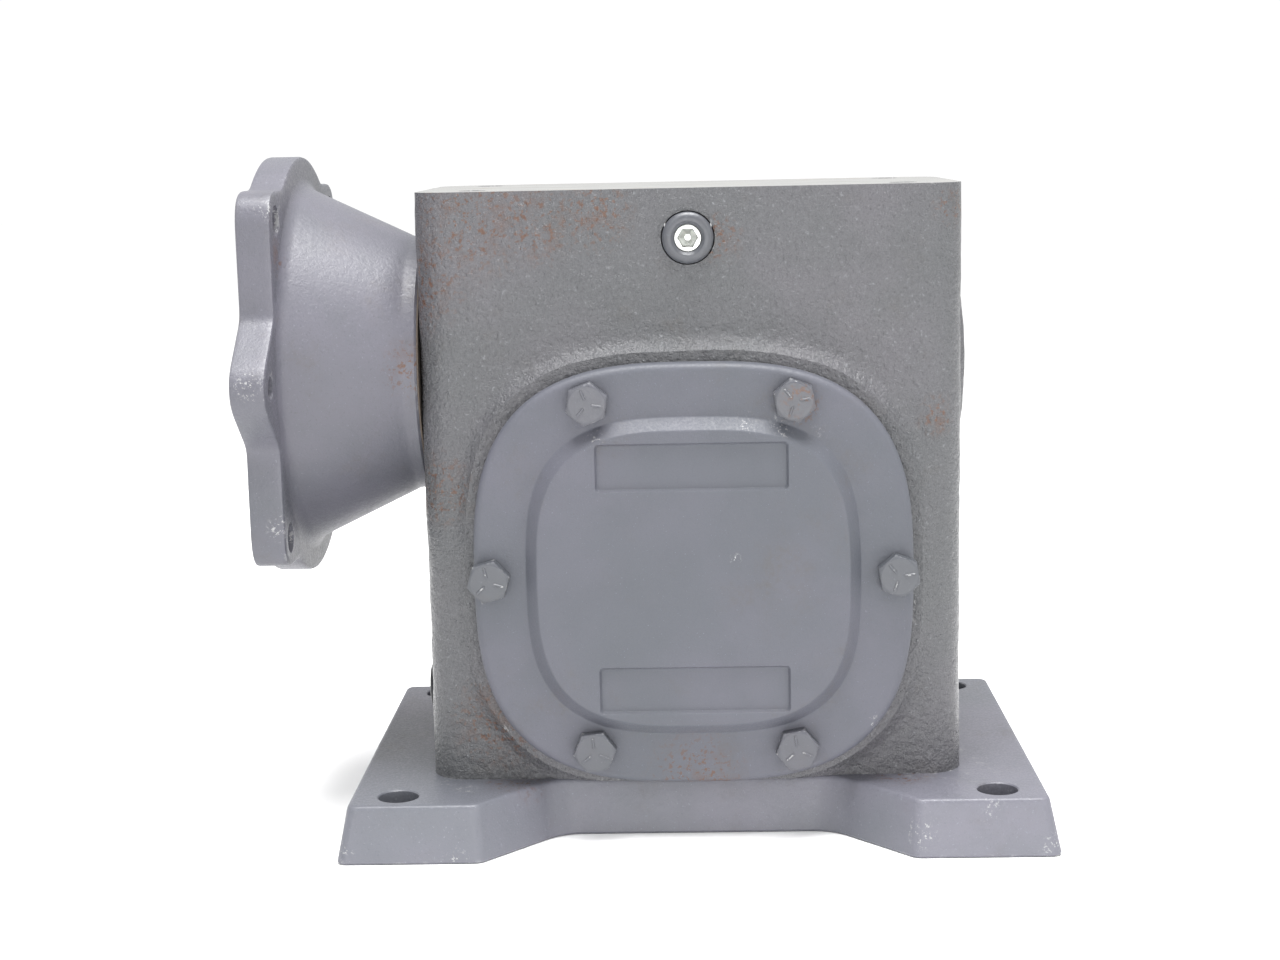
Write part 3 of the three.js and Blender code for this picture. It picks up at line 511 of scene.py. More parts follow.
MATERIALS = {
    "cast_paint": painted("cast_paint", CAST_GREY, 1.2, 0.6, HOUSING_STAINS, gloss=0.27, painted_glint=0.85),
    "cover_paint": painted("cover_paint", COVER_GREY, 0.7, 0.07, COVER_STAINS, COVER_SCUFFS, gloss=0.56),
    "base_paint": painted("base_paint", BASE_GREY, 0.8, 0.08, BASE_STAINS, BASE_SCUFFS_AND_HIGHLIGHTS),
    "flange_paint": painted("flange_paint", FLANGE_GREY, 0.8, 0.1, FLANGE_STAINS, FLANGE_SCUFFS_AND_HIGHLIGHTS),
    "bolt_paint": painted("bolt_paint", BOLT_GREY, 0.8, 0.04, BOLT_STAINS, gloss=0.36),
    "zinc": machined("zinc", (0.6, 0.61, 0.59), 0.3, stain=(0.3, 0.27, 0.22)),
    "black_steel": machined("black_steel", (0.03, 0.031, 0.034), 0.42, stain=(0.05, 0.035, 0.025)),
    "steel": machined("steel", (0.5, 0.51, 0.52), 0.26, "y"),
    "worm_steel": machined("worm_steel", (0.46, 0.47, 0.48), 0.28, "x"),
    "bearing_steel": machined("bearing_steel", (0.62, 0.63, 0.65), 0.18),
    "brass_cage": machined("brass_cage", (0.62, 0.45, 0.16), 0.3),
    "bronze": machined("bronze", (0.55, 0.33, 0.12), 0.32, "y"),
    "cast_iron": machined("cast_iron", (0.12, 0.12, 0.122), 0.55, metallic=0.7),
    "machined_iron": machined("machined_iron", (0.36, 0.36, 0.35), 0.42, "x", stain=(0.2, 0.14, 0.09)),
    "rubber": soft("rubber", (0.024, 0.018, 0.015), 0.5, 0.6),
    "gasket": soft("gasket", (0.06, 0.045, 0.033), 0.4, 0.85),
}


# ---------------------------------------------------------------- camera, floor and light
def camera():
    """The camera stands before the blank cover, level with the casing's top, and looks slightly down."""
    pitch, yaw, roll = (math.radians(angle) for angle in (9.32, -1.49, -1.20))
    forward = Vector((math.sin(yaw) * math.cos(pitch), math.cos(yaw) * math.cos(pitch), -math.sin(pitch)))
    level = Vector((math.cos(yaw), -math.sin(yaw), 0))
    above = level.cross(forward)
    right = level * math.cos(roll) + above * math.sin(roll)
    up = above * math.cos(roll) - level * math.sin(roll)
    data = bpy.data.cameras.new("camera")
    data.lens = 58.98
    data.sensor_width = 36
    made = bpy.data.objects.new("camera", data)
    scene.collection.objects.link(made)
    turn = Matrix((right, up, -forward)).transposed().to_4x4()
    stand = Vector((0.7, -741, 235.8)) * MM
    made.matrix_world = Matrix.Translation(stand) @ turn
    scene.camera = made


def area_light(name, place, aim, size, power):
    data = bpy.data.lights.new(name, "AREA")
    data.shape = "RECTANGLE"
    data.size, data.size_y = size
    data.energy = power
    light = bpy.data.objects.new(name, data)
    scene.collection.objects.link(light)
    turn = (Vector(aim) - Vector(place)).to_track_quat("-Z", "Y")
    light.matrix_world = Matrix.Translation(place) @ turn.to_matrix().to_4x4()


def studio():
    world = bpy.data.worlds.new("studio")
    scene.world = world
    world.use_nodes = True
    background = world.node_tree.nodes["Background"]
    background.inputs["Color"].default_value = (1, 1, 1, 1)
    background.inputs["Strength"].default_value = 1.04
    bm = bmesh.new()
    bmesh.ops.create_grid(bm, x_segments=8, y_segments=8, size=6)
    mesh = bpy.data.meshes.new("floor")
    bm.to_mesh(mesh)
    bm.free()
    floor = bpy.data.objects.new("floor", mesh)
    scene.collection.objects.link(floor)
    s = Shader("pale_floor")
    cloud = s.noise(180, 4)
    color = s.mix(cloud, (0.95, 0.95, 0.95, 1), (0.98, 0.98, 0.98, 1))
    mesh.materials.append(s.finish(color, s.ramp(cloud, 0.3, 0.7, 0.6, 0.7), s.bump(cloud, 0.05, 0.1)))
    area_light("overhead", (0.05, -0.15, 1.3), (0, 0, 0.1), (0.8, 0.55), 33)
    area_light("front_left", (-0.9, -1.1, 0.9), (0, 0, 0.12), (0.7, 0.7), 4)
    area_light("front_right", (1.1, -0.8, 0.6), (0, 0, 0.1), (0.6, 0.9), 5)
    area_light("low_front", (0.1, -1.2, 0.12), (0, 0, 0.07), (0.8, 0.2), 4)
    scene.view_settings.view_transform = "Standard"


# ---------------------------------------------------------------- housing
def cast_skin(obj):
    """Joins overlapping shapes into one skin with the soft corners and slight ripple of sand casting."""
    remesh = obj.modifiers.new("remesh", "REMESH")
    remesh.mode = "VOXEL"
    remesh.voxel_size = VOXEL
    smooth = obj.modifiers.new("smooth", "SMOOTH")
    smooth.factor = 0.5
    smooth.iterations = 7
    baked(obj)
    places = [vertex.co.copy() for vertex in obj.data.vertices]
    normals = [vertex.normal.copy() for vertex in obj.data.vertices]
    wave, dimple, shrink = (0.3, 14), (0.13, 3.1), 0.12
    moved = []
    for place, normal in zip(places, normals):
        ripple = sum(depth * noise.noise(place / size) for depth, size in (wave, dimple))
        moved.extend(place + normal * (ripple - shrink))
    obj.data.vertices.foreach_set("co", moved)
    obj.data.update()
    return obj


def joined(first, *others):
    """Puts meshes into one object without welding them."""
    bm = bmesh.new()
    for obj in (first, *others):
        bm.from_mesh(obj.data)
    for obj in others:
        bpy.data.objects.remove(obj)
    bm.to_mesh(first.data)
    bm.free()
    return first


def cover_pad(side):
    """The raised pad that a cover sits on, with a flank that runs out into the casing's face."""
    profile = [
        (16, -14), (8.6, -PAD_HEIGHT), (7.0, -3.15), (5.8, -2.3), (3.6, -0.1), (2.8, 0.6), (2.4, 2.5),
    ]
    loops = []
    for margin, rise in profile:
        outline = squircle(COVER_A + margin, COVER_B + margin, COVER_POWER)
        loops.append(on_front(outline, PAD_FACE + rise, side))
    return loft(loops)


def housing():
    beyond = 8
    outline = rectangle(BODY_HALF_X, BODY_HALF_Y, BODY_CORNER)
    body = loft([upright(outline, z) for z in (BASE_TOP - beyond, BODY_TOP + beyond)])
    boss = [
        (TAIL_BOSS_R + 0.4, BODY_HALF_X - 10),
        (TAIL_BOSS_R, BODY_HIGH.x - 1.2),
        (TAIL_BOSS_R - 1.4, BODY_HIGH.x + 0.3),
    ]
    body = cast_skin(joined(body, cover_pad(-1), cover_pad(1), turned(X, WORM_Z * Z, boss)))
    over = block(Vector((-FAR, -FAR, BODY_TOP)), Vector((FAR, FAR, BODY_TOP + FAR)))
    under = block(Vector((-FAR, -FAR, -FAR)), Vector((FAR, FAR, BASE_TOP)))
    before = block(Vector((-FAR, -FAR, 0)), Vector((FAR, -PAD_FACE, FAR * 2)))
    behind = block(Vector((-FAR, PAD_FACE, 0)), Vector((FAR, FAR, FAR * 2)))
    beside = block(Vector((BODY_HIGH.x, -FAR, 0)), Vector((FAR, FAR, FAR * 2)))
    cut(body, over, under, before, behind, beside)
    inner = rectangle(BODY_HALF_X - WALL, BODY_HALF_Y - WALL, BODY_CORNER - 4)
    chamber = loft([upright(inner, z) for z in (BASE_TOP + WALL, BODY_TOP - WALL)])
    cover_bore = turned(Y, OUTPUT_Z * Z, [(SPIGOT_R + 0.3, -80), (SPIGOT_R + 0.3, 80)])
    worm_bore = turned(X, WORM_Z * Z, [(WORM_BORE_R, -FAR / 2), (WORM_BORE_R, 0)])
    tail = [(TAIL_BORE_R, 0), (TAIL_BORE_R, BODY_HIGH.x - 1), (TAIL_BORE_R + 1, BODY_HIGH.x + 1)]
    tail_bore = turned(X, WORM_Z * Z, tail)
    cut(body, chamber, cover_bore, worm_bore, tail_bore)
    for x, y in four(TAPPED.x, TAPPED.y):
        top = [
            (TAPPED_R, BODY_TOP - TAPPED_DEPTH), (TAPPED_R, BODY_TOP - 0.9),
            (TAPPED_R + 1.7, BODY_TOP + 1),
        ]
        cut(body, turned(Z, Vector((x, y, 0)), top, 32))
    for x, w in on_circle(6, BOLT_CIRCLE):
        for low, high in ((-BOLT_HOLE_HIGH, -BOLT_HOLE_LOW), (BOLT_HOLE_LOW, BOLT_HOLE_HIGH)):
            hole = [(BOLT_HOLE_R, low), (BOLT_HOLE_R, high)]
            cut(body, turned(Y, Vector((x, 0, OUTPUT_Z + w)), hole, 24))
    for side in (-1, 1):
        cut(body, turned(side * Y, Vector((0, side * BODY_HALF_Y, LEVEL_Z)), PLUG_HOLE, 48))
    cut(body, turned(-X, DRAIN, PLUG_HOLE, 48))
    finished(body, "housing_casting", "cast_paint", "casing", ["housing"], 50)
    bare_top(body)


def bare_top(obj):
    """The machined top face is bare iron."""
    obj.data.materials.append(MATERIALS["machined_iron"])
    for polygon in obj.data.polygons:
        if polygon.normal.z > 0.999 and polygon.center.z > (BODY_TOP - 0.05) * MM:
            polygon.material_index = 1


# ---------------------------------------------------------------- base
def base_corners():
    """The base's outline, anticlockwise, with each corner's radius."""
    outer, inner, neck = 3.2, 5, 16
    quarter = [
        ((BASE_X, -BASE_Y), outer),
        ((BASE_X, BASE_Y), outer),
        ((FOOT_X, BASE_Y), inner),
        ((NECK_X, NECK_Y), neck),
    ]
    far_side = [((-x, y), r) for (x, y), r in reversed(quarter[1:])]
    near_side = [((-x, -y), r) for (x, y), r in quarter[1:]]
    last = [((x, -y), r) for (x, y), r in reversed(quarter[2:])]
    return quarter + far_side + near_side + last


def base():
    corners = base_corners()
    radii = [radius for corner, radius in corners]
    profile = [
        (2.4, 0), (0.9, 0), (0.3, 0.25), (0, 0.9), (0.3, 2.4),
        (3.0, BASE_TOP - 3.2), (3.3, BASE_TOP - 1.7), (3.6, BASE_TOP - 0.7),
        (4.1, BASE_TOP - 0.2), (4.9, BASE_TOP), (6.4, BASE_TOP),
    ]
    loops = []
    for inset, z in profile:
        points = inset_polygon([corner for corner, radius in corners], inset)
        loops.append(upright(rounded(points, radii, 10), z))
    plate = loft(loops)
    for x, y in four(FOOT_HOLE.x, FOOT_HOLE.y):
        hole = [
            (FOOT_HOLE_R + 0.9, -1), (FOOT_HOLE_R, 0.7),
            (FOOT_HOLE_R, BASE_TOP - 0.4), (FOOT_HOLE_R + 0.9, BASE_TOP + 0.5),
        ]
        cut(plate, turned(Z, Vector((x, y, 0)), hole, 64))
    for x, y in four(TAPPED.x, TAPPED.y):
        hole = [
            (BASE_SEAT_R, -1), (BASE_SEAT_R, BASE_SEAT),
            (BASE_BOLT_HOLE_R, BASE_SEAT), (BASE_BOLT_HOLE_R, BASE_TOP + 1),
        ]
        cut(plate, turned(Z, Vector((x, y, 0)), hole, 48))
    finished(plate, "base_casting", "base_paint", "casing", ["base_plate"])


# ---------------------------------------------------------------- covers
def cover(side):
    """A cover's plate with a rounded rim, a spigot, a bearing pocket and its bolt holes."""
    rim = COVER_RIM
    profile = [(0.4, COVER_BACK), (0, COVER_BACK + 0.4)]
    for step in range(7):
        a = math.radians(15 * step)
        profile.append((rim - rim * math.cos(a), COVER_FACE - rim + rim * math.sin(a)))
    profile.append((rim + 1.4, COVER_FACE))
    loops = []
    for inset, height in profile:
        loops.append(on_front(squircle(COVER_A - inset, COVER_B - inset, COVER_POWER), height, side))
    if side < 0:
        panel = [
            (-0.35, COVER_FACE), (0, COVER_FACE + 0.1), (0.3, COVER_FACE + 0.35),
            (3.6, PANEL_FACE - 0.35), (3.95, PANEL_FACE - 0.08), (4.4, PANEL_FACE), (5.9, PANEL_FACE),
        ]
        for inset, height in panel:
            points = squircle(PANEL_A - inset, PANEL_B - inset, PANEL_POWER)
            loops.append(on_front(points, height, side))
    plate = loft(loops)
    inside, end = COVER_BACK - 1, COVER_BACK - SPIGOT_DEPTH
    spigot = [
        (SPIGOT_R, COVER_BACK + 0.5), (SPIGOT_R, end), (SPIGOT_BORE_R, end), (SPIGOT_BORE_R, inside),
        (POCKET_WALL_R, inside), (POCKET_WALL_R, POCKET_MOUTH),
        (POCKET_R, POCKET_MOUTH), (POCKET_R, POCKET_FLOOR),
    ]
    weld(plate, turned(side * Y, OUTPUT_Z * Z, spigot))
    cut(plate, turned(side * Y, OUTPUT_Z * Z, [(POCKET_R, 30), (POCKET_R, POCKET_FLOOR)]))
    for x, w in on_circle(6, BOLT_CIRCLE):
        hole = [
            (BOLT_HOLE_R, COVER_BACK - 2), (BOLT_HOLE_R, COVER_FACE - 0.2),
            (BOLT_HOLE_R + 0.7, COVER_FACE + 1),
        ]
        cut(plate, turned(side * Y, Vector((x, 0, OUTPUT_Z + w)), hole, 24))
    return plate


def front_cover():
    """The blank cover, with its two recessed label fields."""
    plate = cover(-1)
    for w in (-LABEL_RISE, LABEL_RISE):
        loops = []
        for inset, rise in ((0.55, -1.3), (0.2, -0.9), (0, -0.3), (-0.4, 0.2)):
            field = rectangle(LABEL_HALF_X - inset, LABEL_HALF_Z - inset, LABEL_CORNER)
            loops.append(on_front([(u, v + w) for u, v in field], PANEL_FACE + rise))
        cut(plate, loft(loops))
    finished(plate, "front_cover_casting", "cover_paint", "casing", ["front_cover"], 28)


def rear_cover():
    """The cover that the output shaft passes through, with a tapered nose round the seal."""
    plate = cover(1)
    nose_end = extent("rear_cover")[1].y
    nose = [
        (36, COVER_FACE - 0.5), (36, COVER_FACE), (34.4, COVER_FACE + 0.6), (33.8, COVER_FACE + 2),
        (30.6, nose_end - 1.2), (29.6, nose_end - 0.2), (28.6, nose_end),
    ]
    weld(plate, turned(Y, OUTPUT_Z * Z, nose))
    bore = [
        (COVER_BORE_R, 40), (COVER_BORE_R, SEAL_SEAT), (SEAL_SEAT_R, SEAL_SEAT),
        (SEAL_SEAT_R, nose_end - 0.8), (SEAL_SEAT_R + 1, nose_end + 0.5),
    ]
    cut(plate, turned(Y, OUTPUT_Z * Z, bore))
    finished(plate, "rear_cover_casting", "cover_paint", "casing", ["rear_cover"], 28)


def cover_gasket(side, name):
    outer = squircle(COVER_A - 0.4, COVER_B - 0.4, COVER_POWER)
    inner = on_circle(len(outer), SPIGOT_R + 0.3)
    low, high = PAD_FACE + 0.02, COVER_BACK - 0.02
    corners = ((outer, low), (outer, high), (inner, high), (inner, low))
    sheet = loft([on_front(points, height, side) for points, height in corners], closed=True)
    finished(sheet, name + "_sheet", "gasket", "casing", [name])


# ---------------------------------------------------------------- motor flange
def flange_radius(t):
    """The lobed plate's radius: a disc, a square with round corners, and a pointed lobe at each side."""
    c, s = abs(math.cos(t)), abs(math.sin(t))
    middle = SQUARE - SQUARE_CORNER
    square = SQUARE / max(c, s)
    along = middle * (c + s)
    inside = along * along - 2 * middle * middle + SQUARE_CORNER * SQUARE_CORNER
    if min(c, s) * square > middle and inside >= 0:
        square = along + math.sqrt(inside)
    reach = LOBE_TIP - LOBE_CORNER
    lobe = 0.0
    if LOBE_CORNER * LOBE_CORNER > (reach * s) ** 2:
        lobe = reach * c + math.sqrt(LOBE_CORNER * LOBE_CORNER - (reach * s) ** 2)
    if s < 0.45:
        flank = reach * math.sin(LOBE_SLOPE) + LOBE_CORNER
        lobe = max(lobe, min(flank / (math.sin(LOBE_SLOPE) * c + math.cos(LOBE_SLOPE) * s), LOBE_TIP))
    disc = DISC_R if s > 0.5 else 0
    return max(square, disc, lobe)


def smoothed(values, reach):
    """A periodic run of values with its sharp turns rounded."""
    weights = [math.exp(-2 * (k / reach) ** 2) for k in range(-reach, reach + 1)]
    total = sum(weights)
    count = len(values)
    return [
        sum(w * values[(i + k - reach) % count] for k, w in enumerate(weights)) / total
        for i in range(count)
    ]


def on_flange(radii, x, inset):
    count = len(radii)
    points = []
    for i, r in enumerate(radii):
        t = 2 * math.pi * i / count
        points.append(Vector((x, (r - inset) * math.cos(t), WORM_Z + (r - inset) * math.sin(t))))
    return points


def motor_flange():
    count = 360
    radii = smoothed([flange_radius(2 * math.pi * i / count) for i in range(count)], 4)
    face, back, foot = FLANGE_FACE, FLANGE_BACK, FLANGE_FOOT
    profile = [
        (2.2, face), (0.7, face), (0.15, face + 0.3), (0, face + 0.9), (0, face + 2.4),
        (0, back - 2.7), (0, back - 1.2), (0.3, back - 0.4), (1.1, back), (2.6, back),
    ]
    plate = loft([on_flange(radii, x, inset) for inset, x in profile])
    cone = [
        (66, back - 2), (66, back), (64, back + 0.5), (62.4, back + 1.7), (61.1, back + 3.6),
        (SLEEVE_R + 1.2, SLEEVE - 1.6), (SLEEVE_R + 0.4, SLEEVE), (SLEEVE_R, SLEEVE + 1.6),
        (SLEEVE_R, foot - 0.8), (SLEEVE_R - 0.7, foot),
    ]
    weld(plate, turned(X, WORM_Z * Z, cone, 160))
    hollow = [
        (PILOT_R + 1.25, face - 1), (PILOT_R, face + 0.6), (PILOT_R, face + PILOT_DEPTH),
        (CHAMBER_R, face + PILOT_DEPTH), (CHAMBER_R, back),
        (39, CHAMBER_FLOOR - 1.5), (37, CHAMBER_FLOOR),
    ]
    cut(plate, turned(X, WORM_Z * Z, hollow, 160))
    coupling = [
        (COUPLING_R + 1.5, CHAMBER_FLOOR - 1), (COUPLING_R, CHAMBER_FLOOR + 0.6), (COUPLING_R, foot + 1),
    ]
    cut(plate, turned(X, WORM_Z * Z, coupling, 64))
    for y, w in four(MOTOR_HOLE, MOTOR_HOLE):
        hole = [(MOTOR_HOLE_R, face - 1), (MOTOR_HOLE_R, back + 4)]
        cut(plate, turned(X, Vector((0, y, WORM_Z + w)), hole, 40))
    for y in (-SIDE_HOLE, SIDE_HOLE):
        hole = [(SIDE_HOLE_R, face - 1), (SIDE_HOLE_R, back + 4)]
        cut(plate, turned(X, Vector((0, y, WORM_Z)), hole, 32))
    for y, w in on_circle(4, SCREW_CIRCLE, math.pi / 4):
        hole = [(BOLT_HOLE_R, CHAMBER_FLOOR - 2), (BOLT_HOLE_R, foot + 1)]
        cut(plate, turned(X, Vector((0, y, WORM_Z + w)), hole, 24))
    finished(plate, "motor_flange_casting", "flange_paint", "casing", ["motor_flange"])
    low, high = foot + 0.02, -BODY_HALF_X - 0.02
    outer, inner = SLEEVE_R - 0.5, WORM_BORE_R - 0.4
    section = [(outer, low), (outer, high), (inner, high), (inner, low)]
    gasket = turned(X, WORM_Z * Z, section, closed=True)
    name = "motor_flange_gasket"
    finished(gasket, name + "_sheet", "gasket", "casing", [name])


# ---------------------------------------------------------------- fasteners and plugs
def hexagon_radius(flats, t):
    return flats / 2 / math.cos((t + math.pi / 6) % (math.pi / 3) - math.pi / 6)


def hex_head(flats, height, count=72):
    """Loops of a hexagon head standing on z = 0: a washer face, the flats, and the chamfer at the top."""
    angles = [2 * math.pi * i / count for i in range(count)]
    washer, chamfer = 0.475 * flats, 0.47 * flats
    loops = [[Vector((washer * math.cos(t), washer * math.sin(t), z)) for t in angles] for z in (0, 0.35)]
    limits = [
        (0.4, 9), (height - 1.0, 1.75), (height - 0.75, 1.3), (height - 0.5, 0.85),
        (height - 0.25, 0.4), (height - 0.08, 0.05), (height, -0.25),
    ]
    for z, limit in limits:
        loop = []
        for t in angles:
            r = min(hexagon_radius(flats, t), chamfer + limit)
            loop.append(Vector((r * math.cos(t), r * math.sin(t), z)))
        loops.append(loop)
    return loops


def bolt(node, place, turn, flats, height, shank, length):
    """A hexagon bolt with three radial grade marks on its head."""
    obj = loft(hex_head(flats, height))
    rod = [
        (shank - 0.7, -length), (shank, 0.8 - length),
        (shank, -0.4), (shank + 0.4, 0.1), (shank + 0.4, 0.5),
    ]
    weld(obj, turned(Z, Vector(), rod, 32))
    mark_half, mark_place = 0.14 * flats, 0.27 * flats
    bar = rectangle(mark_half, 0.4, 0.3, 3)
    for k in range(3):
        spin = Matrix.Rotation(2 * math.pi * k / 3, 4, "Z")
        loops = []
        for z, scale in ((height - 0.3, 1.2), (height + 0.15, 1.0), (height + 0.33, 0.6)):
            loops.append([spin @ Vector((x + mark_place, y * scale, z)) for x, y in bar])
        weld(obj, loft(loops))
    obj.data.transform(place @ Matrix.Rotation(math.radians(turn), 4, "Z"))
    finished(obj, node + "_hex", "bolt_paint", "casing", [node], 24)


def standing(point, direction):
    """A place for a fastener whose head points along direction."""
    return Matrix.Translation(point) @ direction.to_track_quat("Z", "Y").to_matrix().to_4x4()


def bolts():
    for i, (x, w) in enumerate(on_circle(6, BOLT_CIRCLE)):
        for side, end in ((-1, "front"), (1, "rear")):
            node = f"{end}_cover_bolt_{i + 1}"
            place = standing(Vector((x, side * COVER_FACE, OUTPUT_Z + w)), side * Y)
            bolt(node, place, HEAD_TURNS[i] + 20 * side, **COVER_BOLT)
    for i, (x, y) in enumerate(four(TAPPED.x, TAPPED.y)):
        node = f"base_bolt_{i + 1}"
        bolt(node, standing(Vector((x, y, BASE_SEAT)), -Z), 15 * i, **BASE_BOLT)


def socket_screw(node, place):
    """A black cap screw with a knurled head and a hexagon socket."""
    count, knurl = 90, 0.16
    directions = [Vector((x, y, 0)) for x, y in on_circle(count, 1)]
    head = [
        (0, 0, 0.3), (0.4, 0, 0), (0.7, knurl, 0), (6.6, knurl, 0),
        (7, 0, 0), (7.8, 0, 0.3), (SCREW_HEAD, 0, 0.8),
    ]
    loops = []
    for z, depth, inset in head:
        radii = [SCREW_HEAD_R - inset - depth * (i % 3 == 0) for i in range(count)]
        loops.append([d * r + z * Z for d, r in zip(directions, radii)])
    obj = loft(loops)
    rod = [(SCREW_R - 0.7, -SCREW_LENGTH), (SCREW_R, 0.8 - SCREW_LENGTH), (SCREW_R, 0.5)]
    weld(obj, turned(Z, Vector(), rod, 32))
    six = on_circle(6, SCREW_SOCKET)
    cut(obj, loft([upright(six, z) for z in (SCREW_HEAD / 2, SCREW_HEAD + 1)]))
    obj.data.transform(place)
    finished(obj, node + "_socket_head", "black_steel", "casing", [node])


def pipe_plug(node, place, ring_material, core_material):
    """A pipe plug: a domed ring round a hexagon socket with a bright drilled floor."""
    ring = [
        (8.1, -9.3), (8.5, -1), (8.5, 0.9), (8.2, 1.6), (7.5, 2.2), (6.6, 2.5),
        (5.6, 2.35), (5.1, 1.9), (PLUG_CORE_R, 1.4), (PLUG_CORE_R, -9.3),
    ]
    body = turned(Z, Vector(), ring, 72, closed=True)
    body.data.transform(place)
    finished(body, node + "_ring", ring_material, "casing", [node])
    core_r = PLUG_CORE_R - 0.05
    core = turned(Z, Vector(), [(core_r, -9.2), (core_r, 1.2), (4.3, 1.5), (3.7, 1.6)], 60)
    six = [Vector((x, y, 0)) for x, y in on_circle(6, PLUG_SOCKET)]
    socket = ((0.35, -3.4), (1, -2.2), (1.02, 0.9), (1.2, 2))
    cut(core, loft([[p * scale + z * Z for p in six] for scale, z in socket]))
    core.data.transform(place)
    finished(core, node + "_socket", core_material, "casing")


def plugs():
    pipe_plug("level_plug", standing(Vector((0, -BODY_HALF_Y, LEVEL_Z)), -Y), "bolt_paint", "zinc")
    pipe_plug("vent_plug", standing(Vector((0, BODY_HALF_Y, LEVEL_Z)), Y), "bolt_paint", "zinc")
    pipe_plug("drain_plug", standing(DRAIN, -X), "black_steel", "black_steel")
    for i, (y, w) in enumerate(on_circle(4, SCREW_CIRCLE, math.pi / 4)):
        socket_screw(f"motor_flange_screw_{i + 1}", standing(Vector((CHAMBER_FLOOR, y, WORM_Z + w)), -X))
    low, high = extent("tail_bore_plug")
    cap = turned(X, WORM_Z * Z, [
        (25.9, low.x + 0.1), (26, high.x - 1.6), (25.2, high.x - 0.7), (23.8, high.x - 0.5),
        (23, high.x - 1.3), (22, high.x - 1.6), (12, high.x - 1.5), (3, high.x - 1.4),
    ])
    finished(cap, "tail_bore_cap", "bolt_paint", "casing", ["tail_bore_plug"])


# ---------------------------------------------------------------- shafts, key and seal
def stadium(half_length, half_width, steps=10):
    """Points of a slot or key with round ends, long along its first direction."""
    points = []
    for end in (1, -1):
        for k in range(steps + 1):
            t = -math.pi / 2 + math.pi * k / steps
            along = half_length - half_width + half_width * math.cos(t)
            points.append((end * along, end * half_width * math.sin(t)))
    return points


def output_shaft():
    """The output shaft with its key, and the oil seal that runs on it."""
    end = extent("output_shaft")[1].y
    profile = [
        (JOURNAL_R, -JOURNAL_END), (JOURNAL_R, -SHOULDER), (WHEEL_SEAT_R, -SHOULDER),
        (WHEEL_SEAT_R, SHAFT_STEP), (SHOULDER_R, SHAFT_STEP), (SHOULDER_R, COLLAR), (JOURNAL_R, COLLAR),
        (JOURNAL_R, JOURNAL_END), (SEAL_R, JOURNAL_END), (SEAL_R, 75.4), (14.8, 76), (SHAFT_R, 76.4),
        (SHAFT_R, end - 1.6), (SHAFT_R - 1.4, end - 0.1), (SHAFT_R - 1.8, end), (4.2, end),
        (3.9, end - 0.2), (1.7, end - 3.8), (1.7, end - 7), (0.1, end - 8),
    ]
    obj = turned(Y, OUTPUT_Z * Z, profile)
    middle = end - KEY_SET_BACK - KEY_HALF
    slot = stadium(KEY_HALF + 0.2, KEY_HALF_WIDTH + 0.075)
    floor, over = OUTPUT_Z + SHAFT_R - 3.3, OUTPUT_Z + SHAFT_R + 2
    cut(obj, loft([[Vector((v, middle + u, z)) for u, v in slot] for z in (floor, over)]))
    low = Vector((-WHEEL_KEY_HALF, -WHEEL_KEY_REACH, OUTPUT_Z + WHEEL_KEY_LOW))
    cut(obj, block(low, Vector((WHEEL_KEY_HALF, WHEEL_KEY_REACH, OUTPUT_Z + WHEEL_KEY_TOP))))
    finished(obj, "output_shaft_turned", "steel", "output", ["output_shaft"])
    low, high = extent("output_key")
    loops = []
    bar = ((0.3, low.z), (0, low.z + 0.3), (0, high.z - 0.35), (0.12, high.z - 0.1), (0.4, high.z))
    for inset, z in bar:
        outline = stadium(KEY_HALF - inset, KEY_HALF_WIDTH - inset)
        loops.append([Vector((v, middle + u, z)) for u, v in outline])
    finished(loft(loops), "output_key_bar", "steel", "output", ["output_key"])
    seal = [
        (24, 65.1), (24, 71.6), (23.7, 72), (22.2, 72), (21.6, 71.4), (21, 69.4), (17.6, 69),
        (16.2, 70.6), (15.5, 70.9), (15.3, 70), (15.9, 68), (16.4, 66.5), (20.5, 65.3),
    ]
    lip = turned(Y, OUTPUT_Z * Z, seal, closed=True)
    finished(lip, "output_seal_ring", "rubber", "casing", ["output_oil_seal"])


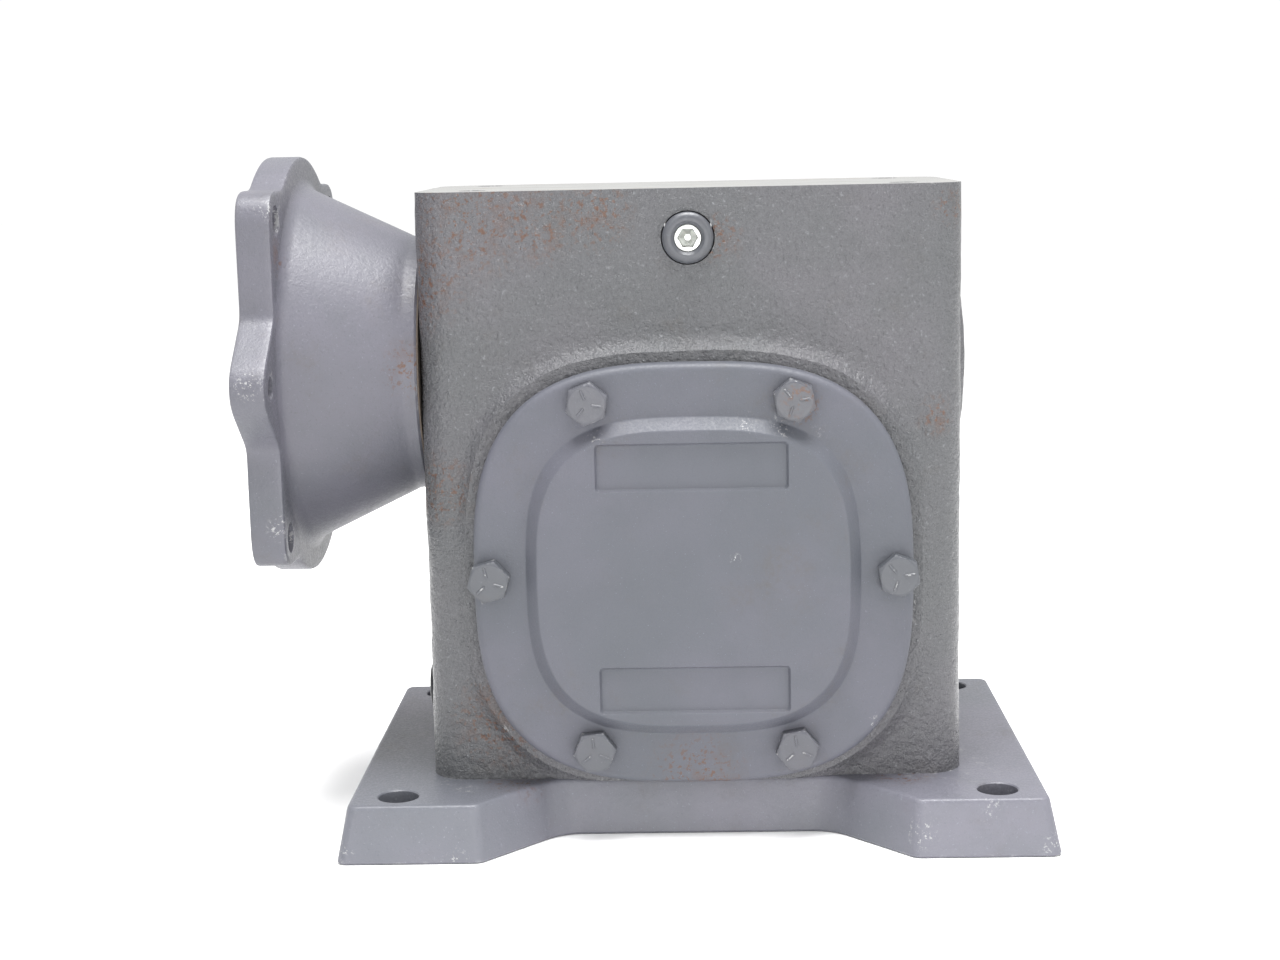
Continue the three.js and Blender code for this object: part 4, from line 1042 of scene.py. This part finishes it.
def worm_shaft():
    """The hollow worm: ground journals, a bored and slotted motor end, and one right-handed thread."""
    low, high = extent("worm_shaft")
    quill = low.x
    profile = [
        (9, quill), (QUILL_R - 0.6, quill), (QUILL_R, quill + 0.6), (QUILL_R, INPUT_SHOULDER),
        (INPUT_JOURNAL_R, INPUT_SHOULDER), (INPUT_JOURNAL_R, -CORE_HALF), (CORE_R, -CORE_HALF),
        (CORE_R, CORE_HALF), (TAIL_SHOULDER_R, CORE_HALF), (TAIL_SHOULDER_R, TAIL_SHOULDER),
        (TAIL_JOURNAL_R, TAIL_SHOULDER), (TAIL_JOURNAL_R, high.x - 0.8), (9.2, high.x),
    ]
    obj = turned(X, WORM_Z * Z, profile)
    pitch = 2 * math.pi * (WORM_Z - OUTPUT_Z - WORM_PITCH_R) / TEETH
    flank = math.tan(PRESSURE_ANGLE)
    backlash = 0.3
    loops = []
    steps, around = 160, 48
    for i in range(steps + 1):
        x = -THREAD_HALF + 2 * THREAD_HALF * i / steps
        loop = []
        for k in range(around):
            t = 2 * math.pi * k / around
            away = abs((t + math.pi) % (2 * math.pi) - math.pi) * pitch / (2 * math.pi)
            r = min(WORM_TIP_R, max(WORM_ROOT_R, WORM_PITCH_R + (pitch / 4 - backlash - away) / flank))
            turn = t + 2 * math.pi * x / pitch
            loop.append(Vector((x, r * math.sin(turn), WORM_Z - r * math.cos(turn))))
        loops.append(loop)
    weld(obj, loft(loops))
    floor = quill + MOTOR_BORE_DEPTH
    bore = [(8.8, quill - 1), (MOTOR_BORE_R, quill + 0.4), (MOTOR_BORE_R, floor), (0.1, floor + 4)]
    cut(obj, turned(X, WORM_Z * Z, bore))
    low_corner = Vector((quill - 1, -MOTOR_KEY_HALF, WORM_Z + 4))
    cut(obj, block(low_corner, Vector((floor, MOTOR_KEY_HALF, WORM_Z + 10.3))))
    finished(obj, "worm_shaft_turned", "worm_steel", "worm", ["worm_shaft"])


def inner_nodes():
    """CAD nodes whose shape is right keep it, and take their material here."""
    slots = {part["node"]: part["material_slot"] for part in frame["record"]["subparts"]}
    for node, obj in frame["nodes"].items():
        obj.data.materials.clear()
        obj.data.materials.append(MATERIALS.get(slots[node], MATERIALS["cover_paint"]))


# ---------------------------------------------------------------- the whole scene
inner_nodes()
camera()
studio()
housing()
base()
front_cover()
rear_cover()
cover_gasket(-1, "front_cover_gasket")
cover_gasket(1, "rear_cover_gasket")
motor_flange()
bolts()
plugs()
output_shaft()
worm_shaft()
